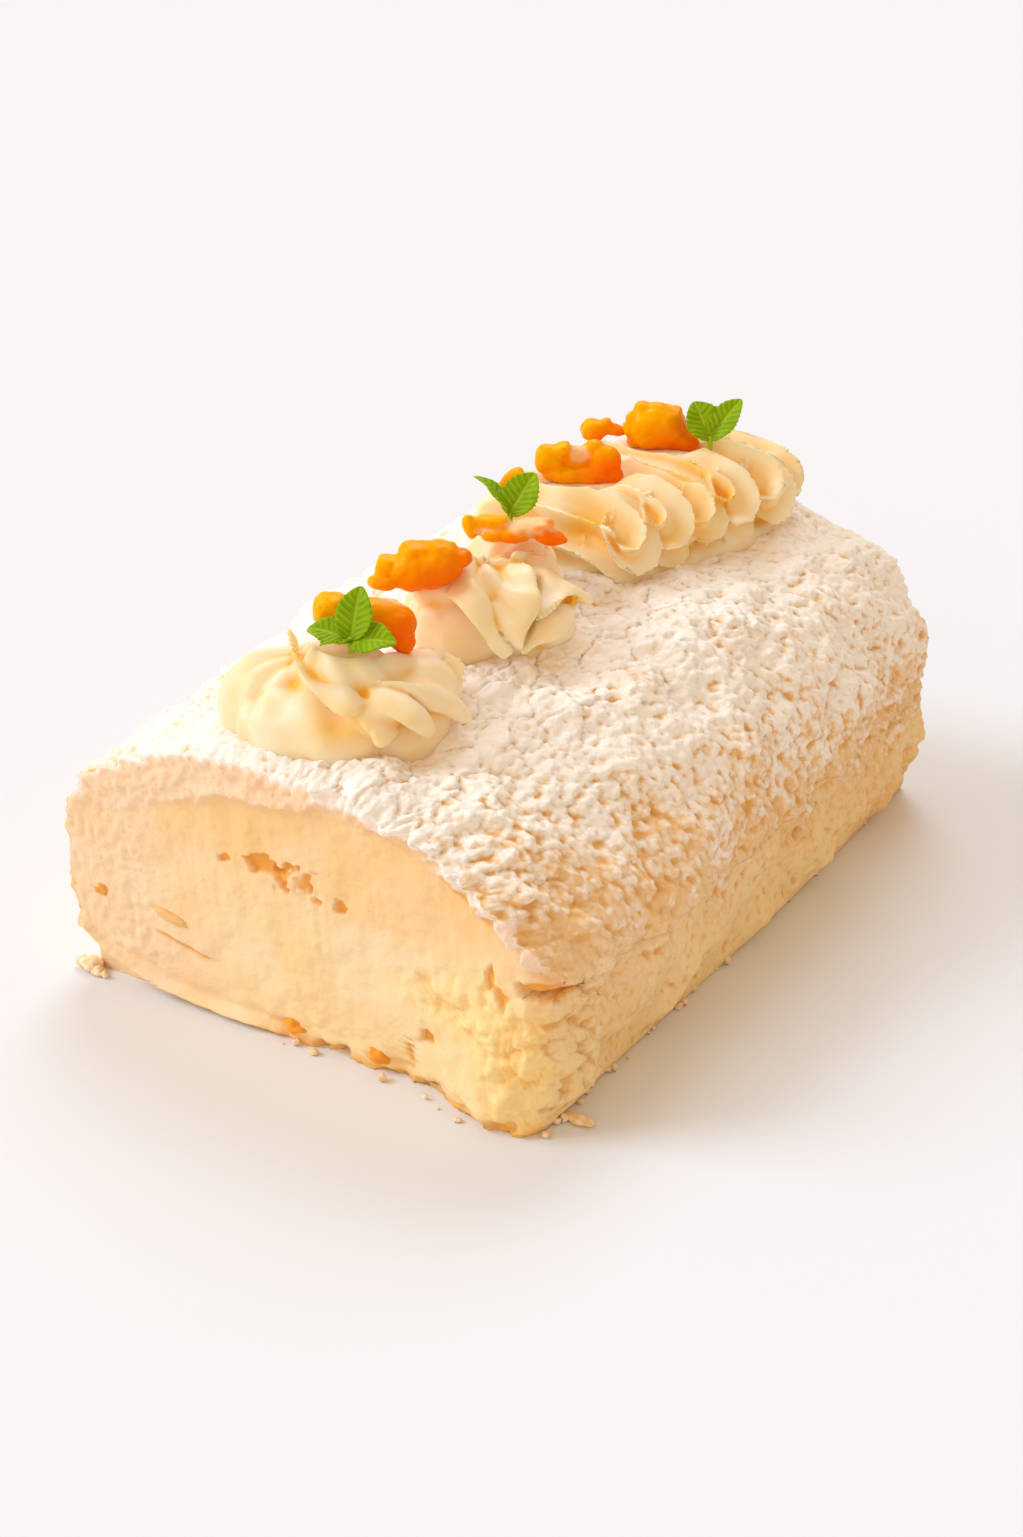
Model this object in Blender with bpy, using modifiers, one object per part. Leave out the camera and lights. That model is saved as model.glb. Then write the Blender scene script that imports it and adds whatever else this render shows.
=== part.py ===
"""A meringue roulade: a rolled meringue sheet round a cream filling, with piped cream, fruit and mint on top.

The roll lies along Y on the plane z = 0. Its cut end faces -Y, and the seam of the sheet is low on the +X side.
"""

import math

import bmesh
import bpy
from mathutils import Euler, Matrix, Vector, noise

MM = 0.001

# The roll
FRONT_Y = -102.5 * MM
BACK_Y = 108.5 * MM
LENGTH = BACK_Y - FRONT_Y
FRONT_HALF_WIDTH = 74 * MM
BACK_HALF_WIDTH = 78 * MM
FRONT_HEIGHT = 75 * MM
BACK_HEIGHT = 87.5 * MM
BELLY_HEIGHT = 37 * MM
FOOT_REACH = 60 * MM
FOOT_POWER = 3.0
SETTLED_SHARE = 0.65

# The rolled sheet: its thickness at angles from +X, in degrees, anticlockwise seen from the front
SHEET_THICKNESS = [(-90, 6 * MM), (-25, 13 * MM), (0, 12 * MM), (45, 8 * MM), (90, 8 * MM), (135, 12 * MM),
                   (180, 12 * MM), (225, 9 * MM), (270, 6 * MM)]
SEAM_ANGLE = math.radians(-2)
SEAM_GAP_FRONT = 2.6 * MM
SEAM_GAP_BACK = 0.6 * MM
SEAM_STEP_FRONT = 3.4 * MM
SEAM_STEP_BACK = 0.4 * MM
SEAM_CLOSES_BY = 0.4
STEP_SHARE = 0.07
LAYER_GAP = 0.45 * MM
TOUCH_GAP = 0.35 * MM
CRAG_DEPTH = 3.2 * MM
CRAG_SIZE = 17 * MM
LUMP_DEPTH = 2.0 * MM
LUMP_SIZE = 42 * MM
RIM_ROUNDING = 2.5 * MM
RIM_LENGTH = 6 * MM
RAGGED_RIM = 1.6 * MM

# The squashed corner low on the right of the cut end
CORNER_PUSH = 8.0 * MM
CORNER_AT = (57 * MM, 0.0)
CORNER_SIZE = (17 * MM, 26 * MM)
CORNER_ROUND_FROM = 61 * MM
CORNER_ROUND = 16 * MM
WARP_LENGTH = 45 * MM

# How finely the roll is divided
CRUST_COLUMNS = 60
CRUST_STATIONS = 26
LAYER_COLUMNS = 30
LAYER_STATIONS = 8

# Piped cream: a star-shaped rope laid in loops across the top of the roll
STAR_POINTS = 7
STAR_DEPTH = 0.30
STAR_SIDES = 4 * STAR_POINTS
STAR_TWIST = math.radians(25)
TURN_STEPS = 22
CREAM_VOXEL = 1.4 * MM
PIPED = {
    "piped_cream_front": dict(
        start=(-14 * MM, -84.5 * MM), end=(-1 * MM, -57 * MM), turns=2.1, reach=(23.5 * MM, 14 * MM), rope=11 * MM,
        lift=3.5 * MM, sunk=7 * MM, climb=9 * MM, first=150, faces=1250),
    "piped_cream_middle": dict(
        start=(-2 * MM, -37 * MM), end=(-1 * MM, -4 * MM), turns=2.2, reach=(16 * MM, 18 * MM), rope=10.5 * MM,
        lift=5.2 * MM, sunk=3 * MM, climb=1 * MM, first=170, faces=950),
    "piped_cream_back": dict(
        start=(-3 * MM, 15.5 * MM), end=(13 * MM, 96.5 * MM), turns=5.6, reach=(18.5 * MM, 20 * MM), rope=10.5 * MM,
        lift=5.2 * MM, sunk=2.5 * MM, climb=0 * MM, first=190, faces=1750),
}

# Fruit on top: place, size, turn about X, Y and Z in degrees, and how far the slice is bent, in degrees
FRUIT = {
    "fruit_1": dict(at=(-3, -68, 99), size=(25, 12, 12), turn=(8, 2, 24), bend=55),
    "fruit_2": dict(at=(-6, -40, 104), size=(22, 14, 10), turn=(10, -6, 22), bend=35),
    "fruit_3": dict(at=(4, -11, 106.5), size=(31, 11, 6.5), turn=(4, 10, 8), bend=35),
    "fruit_4": dict(at=(-17, 23, 106), size=(9, 7, 6), turn=(0, -25, 60), bend=20),
    "fruit_5": dict(at=(-4, 38, 110), size=(28, 12, 8.5), turn=(-55, 6, 16), bend=150),
    "fruit_6": dict(at=(-13, 64, 111), size=(12, 8, 6.5), turn=(0, -8, 18), bend=30),
    "fruit_7": dict(at=(3, 75, 112), size=(23, 18, 14), turn=(20, 10, 20), bend=40),
}

# Mint sprigs: the foot of the stem, and each leaf's length, width, heading, rise and curl in degrees
MINT = {
    "mint_front": dict(foot=(-1, -79, 100), leaves=[(13, 8.2, 95, 72, 18), (12, 8.0, 8, 14, 30),
                                                    (11, 6.8, 196, 22, 35), (7.5, 4.2, 232, 10, 20)]),
    "mint_middle": dict(foot=(-2, -3, 107), leaves=[(13.5, 8.6, 40, 58, 16), (14, 5.6, 168, 50, 25)]),
    "mint_back": dict(foot=(18, 74, 111), leaves=[(16, 8.0, 62, 52, 14), (12, 8.0, 170, 60, 20)]),
}
LEAF_THICKNESS = 0.7 * MM
STEM_RADIUS = 0.8 * MM
STEM_LENGTH = 3.5 * MM

# Fruit pieces and holes that the cut end shows: x and z on the cut, width, depth and height, tilt in degrees
CUT_FRUIT = {
    "cut_fruit_1": dict(at=(-63, 26), size=(5.6, 5, 4.4), tilt=20),
    "cut_fruit_2": dict(at=(-41, 24), size=(14, 5, 3.8), tilt=6),
    "cut_fruit_3": dict(at=(-4, 4.2), size=(6.4, 6, 5), tilt=-8),
    "cut_fruit_4": dict(at=(21, 4.4), size=(5.6, 5, 4.8), tilt=12),
}
CUT_HOLES = [((-22, 46), (3.2, 4, 2.6)), ((-11, 47.5), (7, 6, 4.4)), ((-1.5, 45.5), (8.5, 7, 6)),
             ((12, 42.5), (3.4, 4, 3.6))]


def mix(a, b, share):
    return a + (b - a) * share


def smooth(share):
    share = min(1.0, max(0.0, share))
    return share * share * (3 - 2 * share)


def from_table(table, angle):
    """A value between the angles of a table, eased from one to the next."""
    for (low, first), (high, second) in zip(table, table[1:]):
        if low <= angle <= high:
            return mix(first, second, smooth((angle - low) / (high - low)))
    return table[-1][1]


def new_object(name, mesh_data, collection, material=None):
    made = bpy.data.objects.new(name, mesh_data)
    collection.objects.link(made)
    if material:
        made.data.materials.append(material)
    return made


def object_from_bmesh(name, bm, collection, material=None):
    mesh_data = bpy.data.meshes.new(name)
    bm.to_mesh(mesh_data)
    bm.free()
    return new_object(name, mesh_data, collection, material)


def evaluated_copy(source):
    """The object's mesh with its modifiers in it."""
    bpy.context.view_layer.update()
    graph = bpy.context.evaluated_depsgraph_get()
    return bpy.data.meshes.new_from_object(source.evaluated_get(graph))


def apply_modifiers(target):
    old = target.data
    target.data = evaluated_copy(target)
    target.modifiers.clear()
    bpy.data.meshes.remove(old)


def keep_largest_body(target):
    """Drops the loose scraps that a Boolean can leave."""
    bm = bmesh.new()
    bm.from_mesh(target.data)
    left = set(bm.verts)
    bodies = []
    while left:
        body = {left.pop()}
        edge = list(body)
        while edge:
            found = {e.other_vert(v) for v in edge for e in v.link_edges} - body
            body |= found
            edge = list(found)
        left -= body
        bodies.append(body)
    bodies.sort(key=len)
    bmesh.ops.delete(bm, geom=[v for body in bodies[:-1] for v in body], context="VERTS")
    bm.to_mesh(target.data)
    bm.free()


def cut_away(target, cutters):
    """Takes the cutters out of the target, one after another."""
    for number, cutter in enumerate(cutters):
        boolean = target.modifiers.new(f"cut_{number}", "BOOLEAN")
        boolean.operation = "DIFFERENCE"
        boolean.object = cutter
    apply_modifiers(target)
    keep_largest_body(target)


def as_cutter(made):
    made.hide_render = True
    made.display_type = "WIRE"
    return made


def material(name, color, roughness):
    made = bpy.data.materials.new(name)
    made.use_nodes = True
    shader = made.node_tree.nodes["Principled BSDF"]
    shader.inputs["Base Color"].default_value = (*color, 1)
    shader.inputs["Roughness"].default_value = roughness
    shader.inputs["Metallic"].default_value = 0
    return made


# The roll's form

def section_radius(angle, along):
    """From the middle of the belly to the crust, at an angle from +X, for a share of the length from the front."""
    rise = smooth(along / SETTLED_SHARE)
    half_width = mix(FRONT_HALF_WIDTH, BACK_HALF_WIDTH, rise)
    across, up = abs(math.cos(angle)), math.sin(angle)
    if up > 0:
        height = mix(FRONT_HEIGHT, BACK_HEIGHT, rise) - BELLY_HEIGHT
        leftness = (1 - math.cos(angle)) / 2
        power = mix(mix(1.65, 2.8, rise), mix(2.5, 2.8, rise), leftness)
    else:
        height = FOOT_REACH
        power = FOOT_POWER
    return ((across / half_width) ** power + (abs(up) / height) ** power) ** (-1 / power)


def relief(x, y, z):
    """How far the baked surface stands proud or sinks at a place: slow lumps, and crags on them."""
    spot = Vector((x, y, z))
    lumps = noise.noise(spot / LUMP_SIZE + Vector((3.1, 0, 0)))
    crags = noise.noise(spot / CRAG_SIZE + Vector((0, 7.7, 0)))
    fine = noise.noise(spot / (0.5 * CRAG_SIZE) + Vector((0, 0, 5.3)))
    return LUMP_DEPTH * lumps + CRAG_DEPTH * (crags + 0.5 * fine)


def face_push(x, z):
    """How far forward the cut end stands at a place on it: the squashed corner bulges and its edge is round."""
    bulge = math.exp(-((x - CORNER_AT[0]) / CORNER_SIZE[0]) ** 2 - ((z - CORNER_AT[1]) / CORNER_SIZE[1]) ** 2)
    edge = max(0.0, (x - CORNER_ROUND_FROM) / CORNER_ROUND)
    return -CORNER_PUSH * bulge + CORNER_ROUND * edge * edge


def pushed(x, y, z):
    """A point of the straight roll, moved with the cut end."""
    fade = 1 - smooth((y - FRONT_Y) / WARP_LENGTH)
    return Vector((x, y + face_push(x, z) * fade, z))


def sheet_angle(turn, along):
    """The angle at a share of the sheet's way round, from its lower edge at the seam, under the roll, to its end."""
    gap = mix(SEAM_GAP_FRONT, SEAM_GAP_BACK, smooth(along / SEAM_CLOSES_BY)) / FRONT_HALF_WIDTH
    return SEAM_ANGLE - gap / 2 - turn * (math.tau - gap)


def crust_point(turn, along, outset=0.0):
    """A point of the baked outside."""
    angle = sheet_angle(turn, along)
    y = mix(FRONT_Y, BACK_Y, along)
    radius = section_radius(angle, along)
    x, z = radius * math.cos(angle), BELLY_HEIGHT + radius * math.sin(angle)
    to_end = min(y - FRONT_Y, BACK_Y - y)
    rim = RIM_ROUNDING * max(0.0, 1 - to_end / RIM_LENGTH) ** 2
    off_floor = smooth(z / (9 * MM))
    step = mix(SEAM_STEP_FRONT, SEAM_STEP_BACK, smooth(along / SEAM_CLOSES_BY)) * (1 - smooth(turn / STEP_SHARE))
    radius += outset - rim * off_floor - step + relief(x, y, z) * off_floor
    ragged = RAGGED_RIM * noise.noise(Vector((x, 0, z)) / (9 * MM)) * max(0.0, 1 - to_end / RIM_LENGTH)
    x, z = radius * math.cos(angle), BELLY_HEIGHT + radius * math.sin(angle)
    return pushed(x, y + ragged, max(0.0 if outset == 0 else -outset, z))


def layer_point(turn, along, gap=0.0):
    """A point of the smooth inside of the sheet, or of the filling when there is a gap."""
    angle = sheet_angle(turn, along)
    degrees = math.degrees(angle) % 360
    thickness = from_table(SHEET_THICKNESS, degrees - 360 if degrees > 270 else degrees)
    radius = section_radius(angle, along)
    floor = BELLY_HEIGHT / max(1e-6, -math.sin(angle)) if math.sin(angle) < -0.05 else radius
    radius = min(radius, floor) - thickness - gap
    x, z = radius * math.cos(angle), BELLY_HEIGHT + radius * math.sin(angle)
    return pushed(x, mix(FRONT_Y, BACK_Y, along), z)


def crust_stations():
    """Shares of the length, closer together at both rims."""
    middle = [number / (CRUST_STATIONS - 5) for number in range(1, CRUST_STATIONS - 5)]
    return [0, 0.011, 0.026] + middle + [1 - 0.026, 1 - 0.011, 1]


def grid_of(bm, point, columns, stations):
    return [[bm.verts.new(point(column / columns, along)) for column in range(columns + 1)] for along in stations]


def skin(bm, grid):
    """The faces between neighbouring rows of a grid of vertices, all split the same way."""
    for row, after in zip(grid, grid[1:]):
        for a, b, c, d in zip(row, row[1:], after[1:], after):
            bm.faces.new((a, b, c))
            bm.faces.new((a, c, d))


def stitch(bm, fine, coarse):
    """Triangles between two rows of vertices that run the same way but are divided unlike."""
    i = j = 0
    while i < len(fine) - 1 or j < len(coarse) - 1:
        fine_is_next = (i + 1) * (len(coarse) - 1) <= (j + 1) * (len(fine) - 1)
        if j == len(coarse) - 1 or (i < len(fine) - 1 and fine_is_next):
            bm.faces.new((fine[i], fine[i + 1], coarse[j]))
            i += 1
        else:
            bm.faces.new((fine[i], coarse[j + 1], coarse[j]))
            j += 1


def finish_solid(bm):
    bmesh.ops.triangulate(bm, faces=[face for face in bm.faces if len(face.verts) > 3])
    bmesh.ops.recalc_face_normals(bm, faces=bm.faces)


def meringue_sheet(collection, finish):
    """The rolled sheet: baked outside, smooth inside, the two edges at the seam and the two ends."""
    bm = bmesh.new()
    stations = sorted(set(crust_stations()))
    outside = grid_of(bm, crust_point, CRUST_COLUMNS, stations)
    layer_stations = [number / LAYER_STATIONS for number in range(LAYER_STATIONS + 1)]
    inside = grid_of(bm, layer_point, LAYER_COLUMNS, layer_stations)
    skin(bm, outside)
    skin(bm, inside)
    for end in (0, -1):
        stitch(bm, outside[end], inside[end])
        stitch(bm, [row[end] for row in outside], [row[end] for row in inside])
    finish_solid(bm)
    return object_from_bmesh("meringue_sheet", bm, collection, finish)


def cream_filling(collection, finish):
    """The filling that the sheet is rolled round, out to 0.3 mm from it, with a slightly smeared cut end."""
    bm = bmesh.new()
    stations = [number / LAYER_STATIONS for number in range(LAYER_STATIONS + 1)]
    rows = grid_of(bm, lambda turn, along: layer_point(turn, along, LAYER_GAP), LAYER_COLUMNS, stations)
    skin(bm, rows)
    bm.faces.new([row[0] for row in rows] + [row[-1] for row in rows][::-1])
    for end, outward in ((rows[0], -1), (rows[-1], 1)):
        ring = end
        middle = Vector((0, 0, BELLY_HEIGHT))
        for share in (0.72, 0.42):
            inner = []
            for vertex in end:
                spot = vertex.co.copy()
                spot.x, spot.z = middle.x + (spot.x - middle.x) * share, middle.z + (spot.z - middle.z) * share
                smear = 1.4 * MM * noise.noise(spot / (14 * MM))
                level = FRONT_Y + face_push(spot.x, spot.z) if outward < 0 else BACK_Y
                spot.y = level + smear
                inner.append(bm.verts.new(spot))
            skin(bm, [ring, inner])
            bm.faces.new((ring[0], ring[-1], inner[-1], inner[0]))
            ring = inner
        bm.faces.new(ring)
    finish_solid(bm)
    return object_from_bmesh("cream_filling", bm, collection, finish)


def crust_cutter(collection):
    """The whole roll, a touch larger, to cut what lies on it."""
    bm = bmesh.new()
    rows = grid_of(bm, lambda turn, along: crust_point(turn, along, TOUCH_GAP), CRUST_COLUMNS,
                   sorted(set(crust_stations())))
    skin(bm, rows)
    bm.faces.new([row[0] for row in rows] + [row[-1] for row in rows][::-1])
    bm.faces.new(rows[0])
    bm.faces.new(rows[-1])
    finish_solid(bm)
    return as_cutter(object_from_bmesh("crust_cutter", bm, collection))


# The cut end's fruit and holes

def pebble(name, size, collection, finish=None, segments=8, rings=5, power=0.8):
    """A small rounded block."""
    bm = bmesh.new()
    bmesh.ops.create_uvsphere(bm, u_segments=segments, v_segments=rings, radius=1)
    for vertex in bm.verts:
        vertex.co = Vector([math.copysign(abs(c) ** power, c) * side / 2 for c, side in zip(vertex.co, size)])
    bmesh.ops.triangulate(bm, faces=bm.faces)
    return object_from_bmesh(name, bm, collection, finish)


def cut_fruit(name, at, size, tilt, grow, collection, finish=None):
    made = pebble(name, [side * MM + 2 * grow for side in size], collection, finish)
    x, z = at[0] * MM, at[1] * MM
    made.location = (x, FRONT_Y + face_push(x, z) + size[1] * MM * 0.36, z)
    made.rotation_euler = (0, math.radians(tilt), 0)
    return made


def cut_hole(number, at, size, collection):
    made = pebble(f"hole_{number}", [side * MM for side in size], collection)
    made.location = (at[0] * MM, FRONT_Y - 0.4 * MM, at[1] * MM)
    made.rotation_euler = (0, math.radians(25), 0)
    return as_cutter(made)


# Piped cream

def crest_height(x, y):
    """The height of the roll's top at a place."""
    along = (y - FRONT_Y) / LENGTH
    low, high = 0.0, math.pi
    for _ in range(30):
        angle = (low + high) / 2
        if section_radius(angle, along) * math.cos(angle) > x:
            low = angle
        else:
            high = angle
    return BELLY_HEIGHT + section_radius(low, along) * math.sin(low)


def rope_middle(swirl, share):
    """The middle of the rope at a share of its length: loops that go up over the top and down again."""
    angle = math.radians(swirl["first"]) - share * swirl["turns"] * math.tau
    x0, y0 = (mix(a, b, share) for a, b in zip(swirl["start"], swirl["end"]))
    reach = mix(*swirl["reach"], share)
    over = 0.5 + 0.5 * math.sin(angle)
    z = crest_height(x0, y0) + swirl["rope"] - swirl["sunk"] + swirl["lift"] * over + swirl["climb"] * share
    z -= 0.10 * reach * abs(math.cos(angle)) ** 3
    return Vector((x0 + reach * math.cos(angle), y0 + 0.22 * reach * math.sin(angle), z))


def rope_size(swirl, share):
    """The rope's radius: it starts full, swells a little now and then, and closes at both ends."""
    ends = min(1.0, share / 0.07, (1 - share) / 0.10)
    closing = math.sqrt(max(0.02, 1 - (1 - ends) ** 2))
    swell = 1 + 0.08 * math.sin(share * swirl["turns"] * 4.1 + 1)
    return swirl["rope"] * closing * swell


def rope_grid(bm, swirl, grow=0.0, sides=STAR_SIDES, turn_steps=TURN_STEPS):
    """Rows of vertices round the star-shaped rope."""
    steps = int(swirl["turns"] * turn_steps)
    rows = []
    for step in range(steps + 1):
        share = step / steps
        middle = rope_middle(swirl, share)
        ahead = rope_middle(swirl, share + 0.002) - rope_middle(swirl, share - 0.002)
        ahead.normalize()
        axis = Vector((mix(swirl["start"][0], swirl["end"][0], share), middle.y, middle.z - swirl["rope"]))
        outward = (middle - axis)
        outward -= ahead * outward.dot(ahead)
        outward.normalize()
        sideways = ahead.cross(outward)
        size = rope_size(swirl, share)
        row = []
        for side in range(sides):
            around = math.tau * side / sides
            valley = abs(math.sin(STAR_POINTS * 0.5 * around)) ** 0.9
            reach = size * (1.08 - STAR_DEPTH * valley) + grow
            around += STAR_TWIST * share * swirl["turns"]
            row.append(bm.verts.new(middle + reach * (outward * math.cos(around) + sideways * math.sin(around))))
        rows.append(row)
    return rows


def piped_rope(name, swirl, collection, finish=None, grow=0.0, faces=None):
    """The rope as one fused body with about that many faces."""
    bm = bmesh.new()
    rows = rope_grid(bm, swirl, grow)
    skin(bm, [row + row[:1] for row in rows])
    bm.faces.new(rows[0])
    bm.faces.new(rows[-1])
    finish_solid(bm)
    made = object_from_bmesh(name, bm, collection, finish)
    fuse = made.modifiers.new("fuse", "REMESH")
    fuse.mode = "VOXEL"
    fuse.voxel_size = CREAM_VOXEL
    apply_modifiers(made)
    keep_largest_body(made)
    thin = made.modifiers.new("thin", "DECIMATE")
    thin.ratio = faces / (2 * len(made.data.polygons))
    thin.use_collapse_triangulate = True
    apply_modifiers(made)
    return made


# Fruit on top

def fruit_slice(name, fruit, collection, finish=None, grow=0.0):
    """A plump slice, bent round its short axis, with a soft groove along it."""
    bm = bmesh.new()
    bmesh.ops.create_uvsphere(bm, u_segments=12, v_segments=7, radius=1, matrix=Matrix.Rotation(math.pi / 2, 4, "Y"))
    length, width, height = (side * MM / 2 for side in fruit["size"])
    bend = math.radians(fruit["bend"])
    radius = 2 * length / bend
    for vertex in bm.verts:
        x, y, z = (math.copysign(abs(c) ** 0.72, c) for c in vertex.co)
        lump = 1 + 0.13 * noise.noise(Vector((x, y, z)) * 1.4 + Vector(fruit["at"]))
        x, y, z = x * (length + grow), y * (width * lump + grow), z * (height * lump + grow)
        swing = x / radius
        vertex.co = (((radius - z) * math.sin(swing)), y, radius - (radius - z) * math.cos(swing))
        vertex.co.z *= -1
    bmesh.ops.triangulate(bm, faces=bm.faces)
    bmesh.ops.recalc_face_normals(bm, faces=bm.faces)
    made = object_from_bmesh(name, bm, collection, finish)
    made.location = [c * MM for c in fruit["at"]]
    made.rotation_euler = [math.radians(c) for c in fruit["turn"]]
    return made


# Mint

def leaf_outline(share):
    """Half the leaf's width at a share of its length, as a share of the widest."""
    return math.sin(math.pi * share ** 0.8) ** 0.75 if 0 < share < 1 else 0.0


def leaf(name, foot, shape, collection, finish=None):
    """A folded, curled leaf as a thin wavy solid."""
    length, width, heading, rise, curl = shape
    rows, columns = 6, 4
    bm = bmesh.new()
    grid = []
    for row in range(rows + 1):
        share = 0.04 + 0.94 * row / rows
        half = max(0.10, leaf_outline(share)) * width * MM / 2
        bend = math.radians(curl) * (share - 0.3)
        spine = Vector((length * MM * share, 0, -length * MM * bend * share * 0.5))
        line = []
        for column in range(columns + 1):
            across = 2 * column / columns - 1
            fold = 0.30 * abs(across) * half + 0.35 * MM * math.sin(3.2 * math.pi * share) * abs(across)
            line.append(bm.verts.new(spine + Vector((0, across * half, fold))))
        grid.append(line)
    skin(bm, grid)
    made = object_from_bmesh(name, bm, collection, finish)
    solidify = made.modifiers.new("thickness", "SOLIDIFY")
    solidify.thickness = LEAF_THICKNESS
    solidify.offset = 0
    apply_modifiers(made)
    turn = Euler((0, -math.radians(rise), math.radians(heading)))
    made.location = Vector(foot) * MM
    made.rotation_euler = turn
    return made


def mint_sprig(name, sprig, collection, finish):
    """Leaves joined on a short stem that stands in the cream."""
    pieces = bpy.data.collections.new(name + "_pieces")
    bpy.context.scene.collection.children.link(pieces)
    bm = bmesh.new()
    bmesh.ops.create_cone(bm, cap_ends=True, segments=8, radius1=STEM_RADIUS, radius2=STEM_RADIUS * 1.2,
                          depth=STEM_LENGTH)
    bmesh.ops.triangulate(bm, faces=bm.faces)
    made = object_from_bmesh(name, bm, collection, finish)
    made.location = Vector(sprig["foot"]) * MM + Vector((0, 0, -STEM_LENGTH / 2 + 0.8 * MM))
    for number, shape in enumerate(sprig["leaves"]):
        leaf(f"{name}_leaf_{number}", sprig["foot"], shape, pieces)
    join = made.modifiers.new("join", "BOOLEAN")
    join.operation = "UNION"
    join.operand_type = "COLLECTION"
    join.collection = pieces
    apply_modifiers(made)
    for piece in list(pieces.objects):
        bpy.data.objects.remove(piece)
    bpy.data.collections.remove(pieces)
    keep_largest_body(made)
    return made


def main():
    for old in list(bpy.data.objects):
        bpy.data.objects.remove(old)
    parts = bpy.data.collections.new("meringue_roulade")
    cutters = bpy.data.collections.new("cutters")
    bpy.context.scene.collection.children.link(parts)
    bpy.context.scene.collection.children.link(cutters)

    crust = material("meringue", (0.88, 0.72, 0.52), 0.85)
    filling = material("cream_filling", (0.92, 0.78, 0.52), 0.6)
    whipped = material("whipped_cream", (0.93, 0.82, 0.58), 0.45)
    fruit_flesh = material("fruit", (0.95, 0.35, 0.02), 0.25)
    mint_green = material("mint", (0.10, 0.30, 0.02), 0.5)

    sheet = meringue_sheet(parts, crust)
    cream = cream_filling(parts, filling)
    crust_shape = crust_cutter(cutters)

    holes = [cut_hole(number, at, size, cutters) for number, (at, size) in enumerate(CUT_HOLES)]
    sockets = []
    for name, piece in CUT_FRUIT.items():
        cut_fruit(name, piece["at"], piece["size"], piece["tilt"], 0, parts, fruit_flesh)
        sockets.append(as_cutter(cut_fruit(name + "_socket", piece["at"], piece["size"], piece["tilt"],
                                           TOUCH_GAP, cutters)))
    cut_away(cream, holes + sockets)
    cut_away(sheet, sockets)

    beds = []
    for name, fruit in FRUIT.items():
        fruit_slice(name, fruit, parts, fruit_flesh)
        beds.append(as_cutter(fruit_slice(name + "_bed", fruit, cutters, grow=TOUCH_GAP)))

    ropes = []
    for name, swirl in PIPED.items():
        rope = piped_rope(name, swirl, parts, whipped, faces=swirl["faces"])
        cut_away(rope, [crust_shape] + beds + ropes[-1:])
        ropes.append(as_cutter(piped_rope(name + "_bed", swirl, cutters, grow=TOUCH_GAP * 1.5,
                                          faces=swirl["faces"])))

    for name, sprig in MINT.items():
        made = mint_sprig(name, sprig, parts, mint_green)
        cut_away(made, beds + ropes)


if __name__ == "__main__":
    main()
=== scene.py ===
# %% [markdown]
# # A meringue roulade
# A sheet of meringue is baked, spread with whipped cream and rolled. One end is cut, so that the layers
# show. Two swirls and a long coil of cream are piped along the top and set with fruit and mint.
#
# The part's plain solids are already built and are loaded here as a fixed frame. This lesson makes a
# detailed piece over each of them, in the same place and at the same size, and gives it a material.

# %% Load the frame
import math

import bmesh
import bpy
import numpy as np
from mathutils import Euler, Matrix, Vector, noise


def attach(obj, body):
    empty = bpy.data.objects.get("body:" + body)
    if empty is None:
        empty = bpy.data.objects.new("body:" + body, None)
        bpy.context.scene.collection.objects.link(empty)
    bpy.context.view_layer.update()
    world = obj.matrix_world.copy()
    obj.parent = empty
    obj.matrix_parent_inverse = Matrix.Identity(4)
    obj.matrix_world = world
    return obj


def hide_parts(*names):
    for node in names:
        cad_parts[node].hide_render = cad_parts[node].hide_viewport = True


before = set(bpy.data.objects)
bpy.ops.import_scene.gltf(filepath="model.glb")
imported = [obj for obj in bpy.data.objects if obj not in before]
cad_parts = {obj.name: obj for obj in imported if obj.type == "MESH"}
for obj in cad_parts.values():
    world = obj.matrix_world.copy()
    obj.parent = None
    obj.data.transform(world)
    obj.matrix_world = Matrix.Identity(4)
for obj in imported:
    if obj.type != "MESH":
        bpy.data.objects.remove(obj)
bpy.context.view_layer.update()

MM = 0.001
print("solids:", ", ".join(sorted(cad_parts)))

# %% [markdown]
# ## Fields that shape and colour food
# Food is never smooth or even. Two fields do nearly all the work here: a soft random field, for lumps and
# blotches, and the distance to the nearest of many scattered seeds, for bubbles, pores and nodules.
# Blender has both as texture nodes, but a mesh that is moved by them keeps its form in every renderer, so
# they are worked out here for whole arrays of points at once.

# %% Random fields
def lattice(cells, seed):
    """A fixed random number from 0 to 1 for each whole-numbered cell."""
    h = cells[..., 0] * 73856093 ^ cells[..., 1] * 19349663 ^ cells[..., 2] * 83492791
    h = h ^ (seed * 2654435761 & 0x7FFFFFFF)
    h = (h ^ (h >> 15)) * 1274126177 & 0x7FFFFFFF
    h = (h ^ (h >> 13)) * 1103515245 & 0x7FFFFFFF
    return ((h ^ (h >> 16)) & 0xFFFFF) / 0xFFFFF


def blotches(points, size, seed=0):
    """A soft field from -1 to 1, whose lumps are about that size."""
    at = points / size
    cell = np.floor(at).astype(np.int64)
    t = at - cell
    t = t * t * (3 - 2 * t)
    total = 0
    for corner in np.ndindex(2, 2, 2):
        share = np.prod(np.where(corner, t, 1 - t), axis=-1)
        total = total + share * lattice(cell + np.array(corner), seed)
    return 2 * total - 1


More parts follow.
